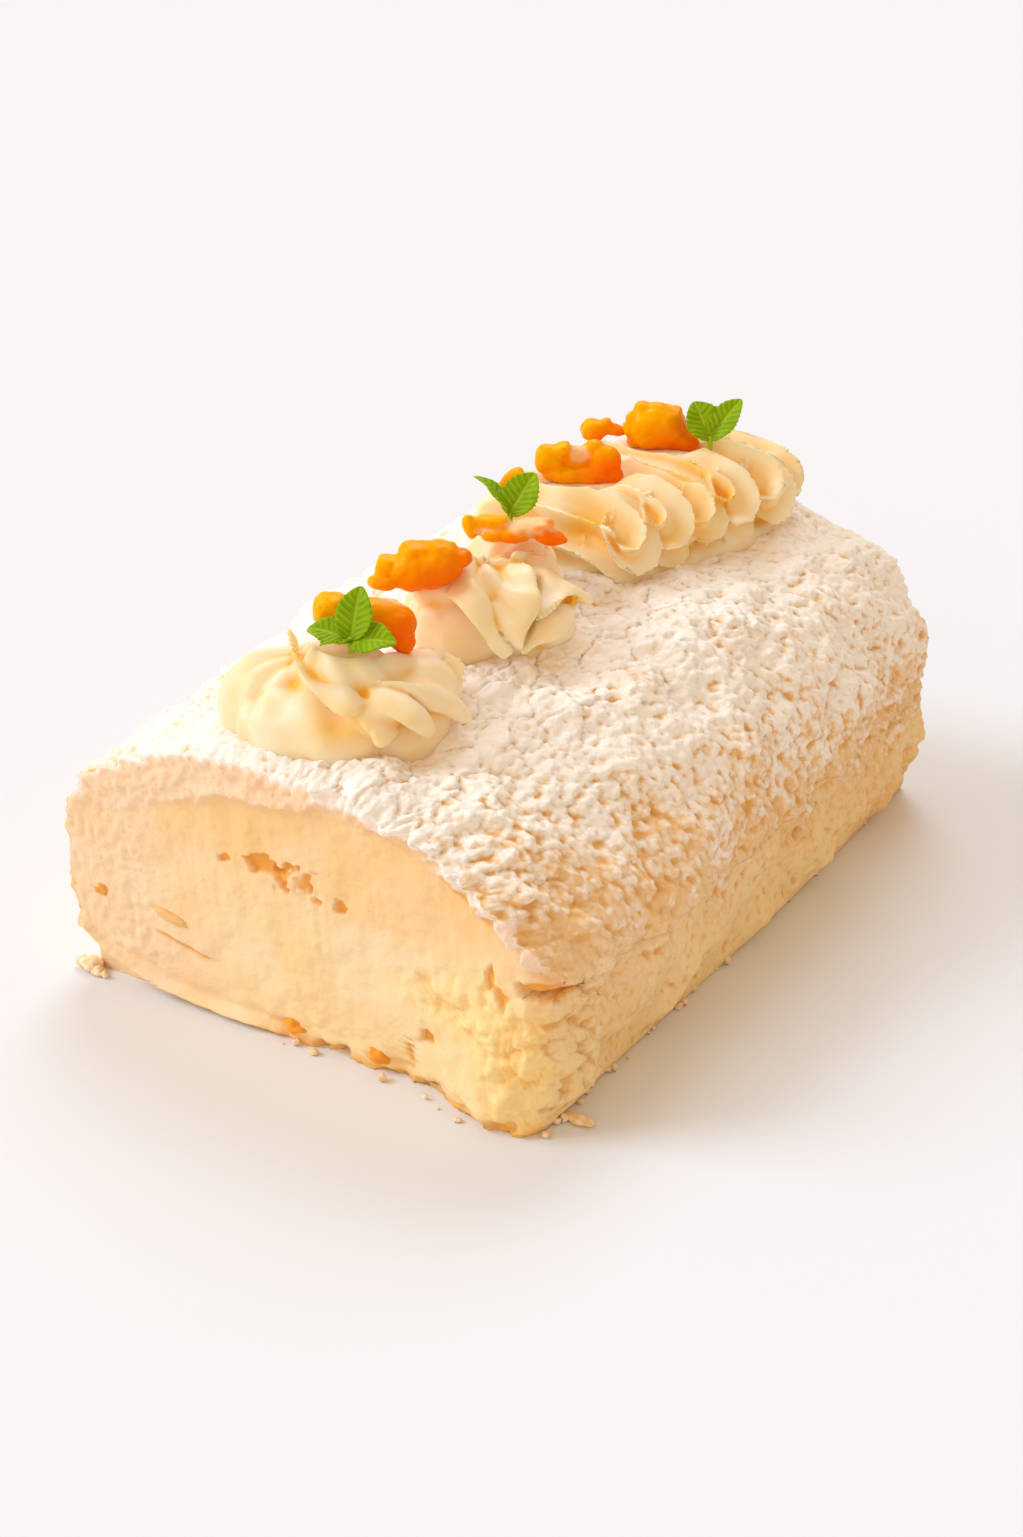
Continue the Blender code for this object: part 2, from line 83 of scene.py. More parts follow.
def seeds(points, size, seed=0):
    """Distances to the nearest and the next of scattered seeds, as shares of their usual spacing."""
    at = points / size
    cell = np.floor(at).astype(np.int64)
    near = np.full(at.shape[:-1], 9.0)
    after = np.full(at.shape[:-1], 9.0)
    for shift in np.ndindex(3, 3, 3):
        other = cell + np.array(shift) - 1
        place = other + np.stack([lattice(other, seed + k) for k in (1, 2, 3)], axis=-1)
        distance = np.linalg.norm(place - at, axis=-1)
        after = np.minimum(after, np.maximum(near, distance))
        near = np.minimum(near, distance)
    return near, after


def smooth(share):
    share = np.clip(share, 0, 1)
    return share * share * (3 - 2 * share)


def mix(a, b, share):
    return a + (b - a) * share


print("blotch test:", blotches(np.array([[0.1, 0.2, 0.3]]), 0.05).round(3))

# %% [markdown]
# ## Meshes from grids
# Nearly every piece is a grid of points: round the roll by along the roll, round the rope by along the
# rope. One function turns such an array into a mesh, and stores numbers for each point, such as how
# much sugar lies there, which the material reads back through an Attribute node. Small pieces are shells,
# grids of rings with both ends shut, and several of them can be put together in one mesh.

# %% Grid to mesh
def grid_faces(rows, columns, close_rows=False, close_columns=False):
    """Four-sided faces for a grid of points that are numbered row by row."""
    r = np.arange(rows if close_rows else rows - 1)[:, None]
    c = np.arange(columns if close_columns else columns - 1)[None, :]
    r2, c2 = (r + 1) % rows, (c + 1) % columns
    faces = np.stack([r * columns + c, r * columns + c2, r2 * columns + c2, r2 * columns + c], axis=-1)
    return faces.reshape(-1, 4)


def join_shells(shells):
    """The points and faces of several shells, each a grid of rings whose two ends are shut."""
    points, faces, start = [], [], 0
    for shell in shells:
        rings, sides = shell.shape[:2]
        faces += (grid_faces(rings, sides, close_columns=True) + start).tolist()
        faces += [[start + c for c in range(sides)], [start + (rings - 1) * sides + c for c in range(sides)]]
        points.append(shell.reshape(-1, 3))
        start += rings * sides
    return np.concatenate(points), faces


def store(data, key, values):
    """Keeps one number for each point of a mesh, for its material."""
    made = data.attributes.new(key, "FLOAT", "POINT")
    made.data.foreach_set("value", np.asarray(values, dtype=np.float32).ravel())


def make_piece(name, points, faces, material, numbers=None, extra_faces=(), flat=()):
    """An object with smooth shading, facing out, with its stored numbers; flat lists faces with hard edges."""
    data = bpy.data.meshes.new(name)
    data.from_pydata(points.reshape(-1, 3).tolist(), [], faces.tolist() + [list(f) for f in extra_faces])
    for key, values in (numbers or {}).items():
        store(data, key, values)
    bm = bmesh.new()
    bm.from_mesh(data)
    bmesh.ops.recalc_face_normals(bm, faces=bm.faces)
    bm.to_mesh(data)
    bm.free()
    data.shade_smooth()
    for index in flat:
        data.polygons[index].use_smooth = False
    data.materials.append(material)
    piece = bpy.data.objects.new(name, data)
    bpy.context.scene.collection.objects.link(piece)
    return piece


def places(data, key="co"):
    """The places of a mesh's points, or their normals."""
    found = np.empty(len(data.vertices) * 3)
    data.vertices.foreach_get(key, found)
    return found.reshape(-1, 3)


def move_points(data, at):
    data.vertices.foreach_set("co", at.ravel())
    data.update()


NO_QUADS = np.zeros((0, 4), dtype=int)
print("faces of a small grid:", grid_faces(2, 3).tolist())

# %% [markdown]
# ## Materials
# Colours are written as the sRGB hex values that a colour picker shows, and one function turns them to the
# linear values that shaders need. A second small function adds a node with its settings and its links.

# %% Colour and node helpers
def linear(hex_code):
    """The linear colour of an sRGB hex value."""
    srgb = [int(hex_code[i:i + 2], 16) / 255 for i in (1, 3, 5)]
    return [c / 12.92 if c <= 0.04045 else ((c + 0.055) / 1.055) ** 2.4 for c in srgb] + [1.0]


def add(tree, kind, inputs=None, out=0, **settings):
    """Adds a node and gives back one of its outputs; an input is a value, or an output to link from."""
    made = tree.nodes.new("ShaderNode" + kind)
    for key, value in settings.items():
        setattr(made, key, value)
    for key, value in (inputs or {}).items():
        if isinstance(value, bpy.types.NodeSocket):
            tree.links.new(value, made.inputs[key])
        else:
            made.inputs[key].default_value = value
    return made.outputs[out]


def new_material(name):
    """An empty node material with its shader and its output."""
    made = bpy.data.materials.new(name)
    made.use_nodes = True
    tree = made.node_tree
    shader = tree.nodes["Principled BSDF"]
    return made, tree, shader


# %% [markdown]
# ### Baked meringue, dusted with icing sugar
# Meringue is egg-white foam set with sugar. Its baked skin is a pale toasted cream, and the icing sugar that is
# sifted over it lies on whatever faces up, so the bare toasted skin shows more down in the cracks. It is quite
# matte: the sugar grains scatter light every way. The mesh stores where the sugar lies and how deep each
# point is, and noise at the size of sugar clumps, about 1 mm, breaks both up. The hollows and the fine
# creases are also painted a deeper orange, as painted shade over the bare skin's own colour.

# %% Baked meringue material
baked_meringue, tree, shader = new_material("baked_meringue_with_icing_sugar")
where = add(tree, "TexCoord", out="Object")
clumps = add(tree, "TexNoise", {"Vector": where, "Scale": 1 / (3.2 * MM), "Detail": 5.0, "Roughness": 0.65})
broad = add(tree, "TexNoise", {"Vector": where, "Scale": 1 / (22 * MM), "Detail": 3.0})
grains = add(tree, "TexNoise", {"Vector": where, "Scale": 1 / (0.9 * MM), "Detail": 3.0, "Roughness": 0.7})
sugar, deep, moist = (add(tree, "Attribute", out="Fac", attribute_name=key)
                      for key in ("sugar", "deep", "moist"))
pebbles = add(tree, "TexVoronoi", {"Vector": where, "Scale": 1 / (1.7 * MM)}, out="Distance")
creases = add(tree, "MapRange", {0: pebbles, 1: 0.35, 2: 0.75})
patches = add(tree, "MapRange", {0: broad, 1: 0.35, 2: 0.65})
toast_and_hollow_shade = add(tree, "Mix", {0: patches, 6: linear("#F8D9AE"), 7: linear("#F3C78E")}, out=2, data_type="RGBA")
toast_and_hollow_shade = add(tree, "Mix", {0: moist, 6: toast_and_hollow_shade, 7: linear("#FCDFA2")}, out=2, data_type="RGBA")
# painted shade: the deep share and the creases between pebbles mix in a deeper orange, partly the bare toasted
# skin and partly shade painted into the hollows
hollow = add(tree, "Math", {0: creases, 1: 0.3, 2: deep}, operation="MULTIPLY_ADD")
hollow = add(tree, "Math", {0: clumps, 1: 0.7, 2: hollow}, operation="MULTIPLY_ADD")
hollow = add(tree, "MapRange", {0: hollow, 1: 0.55, 2: 1.3})
toast_and_hollow_shade = add(tree, "Mix", {0: hollow, 6: toast_and_hollow_shade, 7: linear("#EBB468")}, out=2, data_type="RGBA")
dusting = add(tree, "Math", {0: creases, 1: -0.25, 2: sugar}, operation="MULTIPLY_ADD")
dusting = add(tree, "Math", {0: clumps, 1: 1.4, 2: dusting}, operation="MULTIPLY_ADD")
dusting = add(tree, "MapRange", {0: dusting, 1: 0.85, 2: 1.4, 3: 0.0, 4: 0.97})
finish = add(tree, "Mix", {0: dusting, 6: toast_and_hollow_shade, 7: linear("#FFF8EE")}, out=2, data_type="RGBA")
tree.links.new(finish, shader.inputs["Base Color"])
shader.inputs["Roughness"].default_value = 0.82
shader.inputs["Specular IOR Level"].default_value = 0.25
bump = add(tree, "Bump", {"Height": grains, "Strength": 0.45, "Distance": 0.35 * MM})
bump = add(tree, "Bump", {"Height": pebbles, "Normal": bump, "Strength": 0.5, "Distance": 0.55 * MM},
           invert=True)
bump = add(tree, "Bump", {"Height": clumps, "Normal": bump, "Strength": 0.45, "Distance": 0.6 * MM})
tree.links.new(bump, shader.inputs["Normal"])
print("made", baked_meringue.name)

# %% [markdown]
# ### Cut meringue and filling
# Inside, the soft meringue is a moist peach-coloured foam and the filling a smooth butter-yellow cream. The
# knife drags each a little way over the other, so the cut end has no hard line between them. Both pieces
# share this one recipe, and the stored numbers say which of the two a point is. Shade is painted in as a
# deeper amber in the holes, pores, crack and crevices, along the foot on the floor and under the ledge.

# %% Cut end material
def cut_end_material(name):
    made, tree, shader = new_material(name)
    where = add(tree, "TexCoord", out="Object")
    smear = add(tree, "Mapping", {"Vector": where, "Rotation": (0, math.radians(6), 0), "Scale": (1, 1, 0.12)})
    streaks = add(tree, "TexNoise", {"Vector": smear, "Scale": 1 / (2.4 * MM), "Detail": 4.0})
    broad = add(tree, "TexNoise", {"Vector": where, "Scale": 1 / (16 * MM), "Detail": 3.0})
    fine = add(tree, "TexNoise", {"Vector": where, "Scale": 1 / (1.3 * MM), "Detail": 4.0})
    bubbles = add(tree, "TexVoronoi", {"Vector": where, "Scale": 1 / (2.2 * MM)}, out="Distance")
    foam, sponge, deep, sugar = (add(tree, "Attribute", out="Fac", attribute_name=key)
                                 for key in ("foam", "sponge", "deep", "sugar"))
    patches = add(tree, "MapRange", {0: broad, 1: 0.35, 2: 0.7})
    marks = add(tree, "MapRange", {0: streaks, 1: 0.5, 2: 0.85, 4: 0.3})
    pits = add(tree, "MapRange", {0: bubbles, 1: 0.26, 2: 0.06, 4: 0.5})
    pits = add(tree, "Math", {0: pits, 1: foam}, operation="MULTIPLY")
    peach = add(tree, "Mix", {0: broad, 6: linear("#FBDEBE"), 7: linear("#F5CA9C")}, out=2, data_type="RGBA")
    yellow = add(tree, "Mix", {0: fine, 6: linear("#FFEBB4"), 7: linear("#F9CC6A")}, out=2, data_type="RGBA")
    colour = add(tree, "Mix", {0: patches, 6: linear("#FADFB4"), 7: linear("#F9D598")}, out=2, data_type="RGBA")
    # painted shade: deep paints the holes, the crack, the sponge's crevices, the foot on the floor and the
    # strip under the ledge amber, and pits paints shade into the foam's pores
    for share, over in ((marks, linear("#F3CC8A")), (foam, peach), (sponge, yellow), (pits, linear("#E9AC6A")),
                        (deep, linear("#F2A62C")), (sugar, linear("#FFF1E4"))):
        colour = add(tree, "Mix", {0: share, 6: colour, 7: over}, out=2, data_type="RGBA")
    tree.links.new(colour, shader.inputs["Base Color"])
    shader.inputs["Roughness"].default_value = 0.6
    shader.inputs["Specular IOR Level"].default_value = 0.3
    bump = add(tree, "Bump", {"Height": streaks, "Strength": 0.15, "Distance": 0.3 * MM})
    bump = add(tree, "Bump", {"Height": fine, "Normal": bump, "Strength": 0.5, "Distance": 0.45 * MM})
    tree.links.new(bump, shader.inputs["Normal"])
    return made


cut_meringue = cut_end_material("cut_meringue_foam")
whipped_filling = cut_end_material("whipped_cream_filling")
print("made", cut_meringue.name, "and", whipped_filling.name)

# %% [markdown]
# ## The form of the roll
# The section of the roll is a rounded box that sits on the table: wide in the belly, flat below, and fuller
# on the shoulders towards the far end. Each direction from the middle of the belly has a power that says
# how boxy it is. These are the same sizes and rules that the plain solids were made with.

# %% Sizes of the roll
FRONT_Y, BACK_Y = -102.5 * MM, 108.5 * MM
LENGTH = BACK_Y - FRONT_Y
FRONT_HALF_WIDTH, BACK_HALF_WIDTH = 74 * MM, 78 * MM
FRONT_HEIGHT, BACK_HEIGHT = 75 * MM, 87.5 * MM
BELLY_HEIGHT = 37 * MM
FOOT_REACH, FOOT_POWER = 60 * MM, 3.0
SETTLED_SHARE = 0.65
THICKNESS_ANGLES = np.array([-90, -25, 0, 45, 90, 135, 180, 225, 270.0])
THICKNESSES = np.array([6, 13, 12, 8, 8, 12, 12, 9, 6]) * MM
SEAM_ANGLE = math.radians(-2)
CRAG_DEPTH, CRAG_SIZE = 3.2 * MM, 17 * MM
LUMP_DEPTH, LUMP_SIZE = 2.0 * MM, 42 * MM
RIM_ROUNDING, RIM_LENGTH, FOLLOW_LENGTH = 2.5 * MM, 6 * MM, 14 * MM
CORNER_PUSH, CORNER_X, CORNER_WIDE, CORNER_HIGH = 8 * MM, 57 * MM, 17 * MM, 26 * MM
WARP_LENGTH = 45 * MM


def section_radius(angle, along):
    """From the middle of the belly to the crust, at an angle from +X, for a share of the roll's length."""
    rise = smooth(along / SETTLED_SHARE)
    half_width = mix(FRONT_HALF_WIDTH, BACK_HALF_WIDTH, rise)
    up = np.sin(angle)
    leftness = (1 - np.cos(angle)) / 2
    power = mix(mix(1.65, 2.8, rise), mix(2.5, 2.8, rise), leftness)
    height = mix(FRONT_HEIGHT, BACK_HEIGHT, rise) - BELLY_HEIGHT
    power = np.where(up > 0, power, FOOT_POWER)
    height = np.where(up > 0, height, FOOT_REACH)
    return ((np.abs(np.cos(angle)) / half_width) ** power + (np.abs(up) / height) ** power) ** (-1 / power)


def sheet_thickness(angle):
    """The rolled sheet's thickness, eased from one angle of the table to the next."""
    degrees = np.degrees(angle) % 360
    degrees = np.where(degrees > 270, degrees - 360, degrees)
    k = np.clip(np.searchsorted(THICKNESS_ANGLES, degrees) - 1, 0, len(THICKNESSES) - 2)
    share = smooth((degrees - THICKNESS_ANGLES[k]) / (THICKNESS_ANGLES[k + 1] - THICKNESS_ANGLES[k]))
    return mix(THICKNESSES[k], THICKNESSES[k + 1], share)


def layer_radius(angle, along):
    """From the middle of the belly to the inside of the sheet."""
    down = np.maximum(-np.sin(angle), 0.05)
    floor = np.where(np.sin(angle) < -0.05, BELLY_HEIGHT / down, 1.0)
    return np.minimum(section_radius(angle, along), floor) - sheet_thickness(angle)


def baked_relief(points):
    """The slow lumps and crags that the baked solid has too."""
    flat = points.reshape(-1, 3)
    found = np.empty(len(flat))
    for i, (x, y, z) in enumerate(flat.tolist()):
        lumps = noise.noise((x / LUMP_SIZE + 3.1, y / LUMP_SIZE, z / LUMP_SIZE))
        crags = noise.noise((x / CRAG_SIZE, y / CRAG_SIZE + 7.7, z / CRAG_SIZE))
        fine = noise.noise((2 * x / CRAG_SIZE, 2 * y / CRAG_SIZE, 2 * z / CRAG_SIZE + 5.3))
        found[i] = LUMP_DEPTH * lumps + CRAG_DEPTH * (crags + 0.5 * fine)
    return found.reshape(points.shape[:-1])


def face_push(x, z):
    """How far forward the cut end stands: its low right corner bulges and the edge there is round."""
    bulge = np.exp(-((x - CORNER_X) / CORNER_WIDE) ** 2 - (z / CORNER_HIGH) ** 2)
    edge = np.maximum(0.0, (x - 61 * MM) / (16 * MM))
    return -CORNER_PUSH * bulge + 16 * MM * edge * edge


def blur(value, soft):
    """From 0 to 1 as the value goes from minus to plus that softness."""
    return smooth(0.5 + value / (2 * soft))


print("section at the front, right and top, mm:",
      (section_radius(np.array([0, math.pi / 2]), 0.0) / MM).round(1))

# %% [markdown]
# ## The baked crust
# Meringue bakes into crags, and the crags into nodules like those of a cauliflower. Each nodule is a dome
# round a seed, with a sharp crease where it meets the next, so the distance to the nearest seed gives the
# form directly. Nodules of three sizes, 8, 4.4 and 2.3 mm, ride on the slow crags. On top they are worn
# down, and flat plates of sugar have thin cracks between them. Low on the side the skin was pressed while
# it was still soft, so there it is smoother, moist and full of small pores, with one larger pit.

# %% Crust relief
SIDE_PIT, PIT_SIZE, PIT_DEPTH = np.array([77, 15.3, 26.9]) * MM, (4, 2.2, 1.8), 2.4 * MM
PORE_WIDE = 0.2


def dome(near, level, widest):
    """How high a nodule stands at a distance from its seed; beyond the widest distance it is flat."""
    return level - np.minimum(near, widest) ** 2


def pores(near):
    """Small round pits, from -1 in their middles to 0."""
    return np.where(near < PORE_WIDE, (near / PORE_WIDE) ** 2 - 1, 0)


def rough_crust(points):
    """How far each point of the crust stands out of the slow crags."""
    y, z = points[..., 1], points[..., 2]
    wander = np.stack([blotches(points, 4 * MM, 11 + k) for k in range(3)], axis=-1) * 0.8 * MM
    wander = wander + np.stack([blotches(points, 1.9 * MM, 14 + k) for k in range(3)], axis=-1) * 0.5 * MM
    patchy = 9 * MM * blotches(points, 17 * MM, 6) + 4 * MM * blotches(points, 6 * MM, 7)
    craggy = smooth((z + patchy - 10 * MM) / (26 * MM)) * (0.9 + 0.4 * blotches(points, 26 * MM, 5))
    top = blur(z - 68 * MM - 12 * MM * smooth((y - FRONT_Y) / LENGTH), 12 * MM)
    craggy = craggy * (1 - 0.72 * top)
    big, _ = seeds(points + wander, 8 * MM, 21)
    middling, _ = seeds(points + wander, 4.4 * MM, 31)
    small, _ = seeds(points + 0.5 * wander, 2.3 * MM, 36)
    out = craggy * MM * (2.8 * dome(big, 0.2, 0.62) + 2.9 * dome(middling, 0.18, 0.6))
    out = out + (0.25 + 0.75 * craggy) * 1.8 * MM * dome(small, 0.18, 0.6)
    out = out + (0.4 + 0.4 * craggy) * 1.0 * MM * blotches(points, 1.7 * MM, 42)
    out = out - craggy * 0.8 * MM * np.clip(0.2 - np.abs(blotches(points + wander, 8 * MM, 43)), 0, 1) / 0.2
    plate, plate_next = seeds(points + 1.5 * wander, 10 * MM, 61)
    out = out - 0.9 * MM * top * np.clip(1 - (plate_next - plate) / 0.07, 0, 1)
    low = 1 - np.clip(craggy, 0, 1)
    along = points * np.array([1, 0.22, 1])
    out = out + low * (0.8 * MM * blotches(along, 3.4 * MM, 44) + 0.5 * MM * blotches(points, 2.2 * MM, 45))
    out = out + low * (1 - top) * 1.0 * MM * blotches(points, 9 * MM, 46)
    corner = blur(-(y + 88 * MM), 10 * MM) * blur(34 * MM - z, 8 * MM) * (points[..., 0] > 0)
    out = out + corner * MM * (3.4 * dome(middling, 0.25, 0.8) + 2.2 * dome(small, 0.2, 0.7))
    out = out + pores(seeds(points, 4.6 * MM, 51)[0]) * 1.1 * MM * low
    pit = np.linalg.norm((points - SIDE_PIT) / PIT_SIZE, axis=-1) / MM
    return out - PIT_DEPTH * smooth((1.2 - pit) / 0.6)


def blurred(field, rounds):
    """Each value of a grid averaged with its neighbours, again and again."""
    for _ in range(rounds):
        padded = np.pad(field, 1, mode="edge")
        field = (padded[:-2, 1:-1] + padded[2:, 1:-1] + padded[1:-1, :-2] + padded[1:-1, 2:] + 2 * field) / 6
    return field


def hollows(field, rounds):
    """Where a relief lies lower than what is round it, from 0 to 1."""
    return np.clip((blurred(field, rounds) - field) / (0.9 * MM), 0, 1)


# %% [markdown]
# ## The cut end
# The features of the cut end are laid out on its plane, in millimetres from the middle of the foot: where
# the foam of the sheet shows and where the cream has been dragged over it, the crumbly yellow corner low on
# the right, the ledge of crust that overhangs the cream, the lip of cream that curls up on the left, and
# the holes of trapped air. A hole is a place, a half width, a half height and a depth.

# %% Cut end relief
HOLES = [(-22, 46, 1.9, 1.3, 1.2), (-11, 47.2, 4.2, 2.4, 2.0), (-1.5, 45.5, 5.4, 3.2, 1.9),
         (12, 42.5, 1.9, 1.9, 1.5), (36.4, 15.1, 1.9, 1.5, 1.5), (31, 9, 1.0, 3.0, 1.0),
         (5.5, 41.8, 2.8, 1.2, 1.0), (53.5, 36.5, 1.0, 2.6, 1.2), (57, 32, 1.4, 2.8, 1.4),
         (66, 36.2, 6.5, 1.9, 2.4), (73, 35, 5.0, 1.5, 2.0)]
LIP = MM * np.array([(-69, 13), (-66, 10.2), (-61, 7.2), (-53, 3.9), (-45, 1.9), (-32, 0.9), (-19, 0.8),
                     (-9, 0.8)])


def front_marks(x, z, flat, out, deep):
    """Adds what only the front has, the holes, a crumb, the lip and a crack, with painted shade in the holes
    and the crack, and says where the lip is.
    """
    ragged = 0.55 * blotches(flat, 2.6 * MM, 80) + 0.35 * blotches(flat, 1.2 * MM, 83)
    for hx, hz, wide, high, far in HOLES:
        away = np.hypot((x - hx * MM) / (wide * MM), (z - hz * MM) / (high * MM)) + ragged
        hollow = smooth((1.25 - away) / 0.5)
        out = out - far * MM * hollow
        # painted shade inside each hole
        deep = np.maximum(deep, 0.85 * hollow)
    crumb = np.exp(-((x + 1 * MM) / (2.2 * MM)) ** 2 - ((z - 46 * MM) / (1.9 * MM)) ** 2)
    out = out + 2.6 * MM * crumb
    deep = deep * (1 - 0.8 * crumb)
    lip_z = np.interp(x, LIP[:, 0], LIP[:, 1])
    on_left = blur(-8 * MM - x, 6 * MM)
    lip = np.exp(-((z - lip_z - 1.2 * MM) / (1.1 * MM)) ** 2) * on_left
    under = blur(lip_z - z - 0.4 * MM, 0.8 * MM) * on_left
    groove = np.exp(-((z - lip_z - 4 * MM) / (1.6 * MM)) ** 2) * on_left
    out = out + 1.8 * MM * lip - 3.2 * MM * under - 0.5 * MM * groove
    crack = np.exp(-((z - (18.7 - (x / MM + 45) * 0.22) * MM) / (0.5 * MM)) ** 2)
    crack = crack * blur(x + 45 * MM, 1.5 * MM) * blur(-29 * MM - x, 1.5 * MM)
    # painted shade along the crack
    return out - 1.1 * MM * crack, np.maximum(deep, 0.9 * crack), lip


def cut_end(x, z, depth_in, plain=False):
    """The cut end's relief, out of the cut, and what shows at each place; depth_in is in from the crust."""
    flat = np.stack([x, 0 * x, z], axis=-1)
    wobble = 3 * MM * blotches(flat, 9 * MM, 3) + 1.2 * MM * blotches(flat, 3.5 * MM, 4)
    left = blur(-(x + 46 * MM + wobble), 8 * MM) * blur(z - 8 * MM, 6 * MM)
    top_edge = np.interp(x / MM, [-60, -40, -22, -2, 6, 30, 60], [50, 56, 62.5, 65.5, 67, 64, 52]) * MM
    top = blur(z - top_edge + 0.6 * wobble, 1.6 * MM)
    right = blur(7 * MM - depth_in + 1.2 * wobble, 5 * MM) * blur(x - 18 * MM, 14 * MM)
    right = right * blur(z - 30 * MM + wobble, 7 * MM)
    foam = np.clip(np.maximum(np.maximum(0.75 * left, top), 1.1 * right), 0, 1)
    sponge = blur(x - 45 * MM + (z - 16 * MM) * 0.6 + 2.5 * wobble, 15 * MM)
    sponge = sponge * blur(32 * MM - z + wobble, 10 * MM)
    sponge = np.maximum(sponge, 0.45 * blur(9 * MM - z, 6 * MM) * blur(x + 5 * MM, 20 * MM))
    near, _ = seeds(flat, 3.0 * MM, 71)
    lumps, _ = seeds(flat + 0.9 * MM * blotches(flat, 3 * MM, 8)[..., None], 3.4 * MM, 70)
    spongy, spongy_next = seeds(flat + 0.8 * MM * blotches(flat, 3 * MM, 9)[..., None], 5.5 * MM, 72)
    porous = np.clip(foam + 0.5 * sponge, 0, 1)
    out = 0.35 * MM * blotches(flat, 11 * MM, 73) + 0.5 * MM * pores(near) * porous
    out = out + (0.9 * MM * (0.5 - lumps) + 0.45 * MM * blotches(flat, 1.7 * MM, 75)) * porous
    lumpy = 2.6 * (0.25 - spongy ** 2) + 1.2 * blotches(flat, 4 * MM, 76) + 1.6 * (0.4 - near)
    out = out + sponge * MM * lumpy
    streaks = blotches(np.stack([x + 0.06 * z, 0 * x, 0.1 * z], axis=-1), 1.6 * MM, 77)
    smears = 0.08 * streaks + 0.35 * blotches(flat, 5 * MM, 74) + 0.15 * blotches(flat, 2 * MM, 79)
    out = out + (1 - porous) * MM * smears
    foot = blur(5 * MM - z + wobble, 2.5 * MM) * blur(x + 12 * MM, 6 * MM)
    crumbled = 0.35 + blotches(flat, 5 * MM, 81) + 0.6 * blotches(flat, 2 * MM, 82)
    out = out - foot * 3.0 * MM * np.clip(crumbled, 0, 1)
    out = out + 0.8 * MM * foam * blur(z - 40 * MM, 20 * MM)
    # painted shade: the sponge's crevices, the foot where it meets the floor and the strip under the crust
    # ledge get the deep amber, and the cream is a little darker towards the top
    deep = 0.6 * sponge * np.clip(1 - (spongy_next - spongy) / 0.14, 0, 1) * (blotches(flat, 8 * MM, 78) > 0)
    deep = np.maximum(deep, 0.7 * foot * blur(2.2 * MM - z, 1.5 * MM))
    deep = np.maximum(deep, 0.7 * right * (0.6 + blotches(flat, 4 * MM, 84)))
    deep = np.maximum(deep, 0.22 * blur(z - 40 * MM, 10 * MM) * (1 - foam))
    jitter = np.stack([blotches(flat, 1.9 * MM, 86 + k) for k in range(3)], axis=-1)
    crumb, _ = seeds(flat + 1.5 * MM * jitter, 2.9 * MM, 85)
    out = out + sponge ** 1.5 * 1.3 * MM * dome(crumb, 0.25, 0.7)
    # painted shade in the crevices between the crumbs
    crevice = smooth((crumb - 0.48) / 0.3) * blur(blotches(flat, 6 * MM, 90), 0.4)
    deep = np.maximum(deep, 0.5 * sponge ** 1.5 * crevice)
    foam = np.maximum(foam, 0.75 * blur(-(x + 30 * MM), 18 * MM) * blur(30 * MM - z, 20 * MM))
    lifted = np.exp(-((z - top_edge + 0.6 * wobble - 1.0 * MM) / (1.4 * MM)) ** 2)
    lifted = lifted * blur(x + 28 * MM, 3 * MM) * blur(7 * MM - x, 2 * MM)
    out = out + 1.3 * MM * lifted
    ledge = blur(x - 5 * MM, 2 * MM) * blur(z - 36 * MM, 3 * MM)
    ledge = ledge * blur(3.4 * MM - depth_in + 0.9 * wobble, 1.6 * MM)
    out = out + ledge * (1.8 * MM + 3.0 * MM * (0.25 - spongy ** 2) + 2.2 * MM * (0.25 - lumps ** 2))
    sugar = np.clip(1.1 * ledge + blur(1.2 * MM - depth_in, 1.2 * MM) * blur(z - 40 * MM, 8 * MM), 0, 1)
    sugar = sugar * (0.2 + 0.8 * blur(z - 50 * MM, 12 * MM))
    if not plain:
        out, deep, lip = front_marks(x, z, flat, out, deep)
        foam, sponge = foam * (1 - 0.8 * lip), sponge * (1 - lip)
    return out, {"foam": foam, "sponge": sponge, "deep": np.clip(deep, 0, 1), "sugar": sugar}


# %% [markdown]
# ## The rolled sheet as one piece
# The sheet is one closed grid. Its rows start at the inside of the cut end, run out over the cut to the
# rim, back along the crust, and in over the far end; its columns go round the roll from the lower edge of
# the seam to the upper one. The columns are dense where the crust shows and sparse underneath.

# %% Columns and stations
COLUMNS, STATIONS = ((560, 300))
CUT_ROWS = 18
SEAM_GAP, SEAM_CLOSED, GAP_SHARE = 1.8 * MM, 0.01 * MM, 0.024
SEAM_STEP, STEP_ALONG, STEP_ROUND = 2.4 * MM, 0.12, 0.06


def column_turns():
    """Shares of the way round, closer together where the crust shows."""
    even = np.linspace(0, 1, 2001)
    angle = SEAM_ANGLE - even * math.tau
    density = np.where(np.sin(angle) < -0.55, 0.3, 1.0)
    total = np.concatenate([[0], np.cumsum(density[1:])])
    return np.interp(np.linspace(0, total[-1], COLUMNS + 1), total, even)


def seam_gap(along):
    """How wide the seam stands open: only at the cut end."""
    return mix(SEAM_GAP, SEAM_CLOSED, smooth(along / GAP_SHARE))


def column_angles(turns, along):
    gap = seam_gap(along) / FRONT_HALF_WIDTH
    return SEAM_ANGLE - gap / 2 - turns * (math.tau - gap)


def at_angle(angle, radius, y):
    return np.stack([radius * np.cos(angle), y + 0 * angle, BELLY_HEIGHT + radius * np.sin(angle)], axis=-1)


def end_cap(angle, radius, y, crust_radius, forward):
    """The surface of an end over rings of radii, and what shows on it; forward is -1 in front and 1 behind."""
    cap = at_angle(angle[None, :] + 0 * radius, radius, y)
    cap[..., 2] = np.maximum(cap[..., 2], 0)
    depth_in = crust_radius[None, :] - radius
    out, shown = cut_end(-forward * cap[..., 0], cap[..., 2], depth_in, plain=forward > 0)
    cap[..., 1] += forward * out
    return cap, shown


turns = column_turns()
print("columns:", len(turns), "stations:", STATIONS)

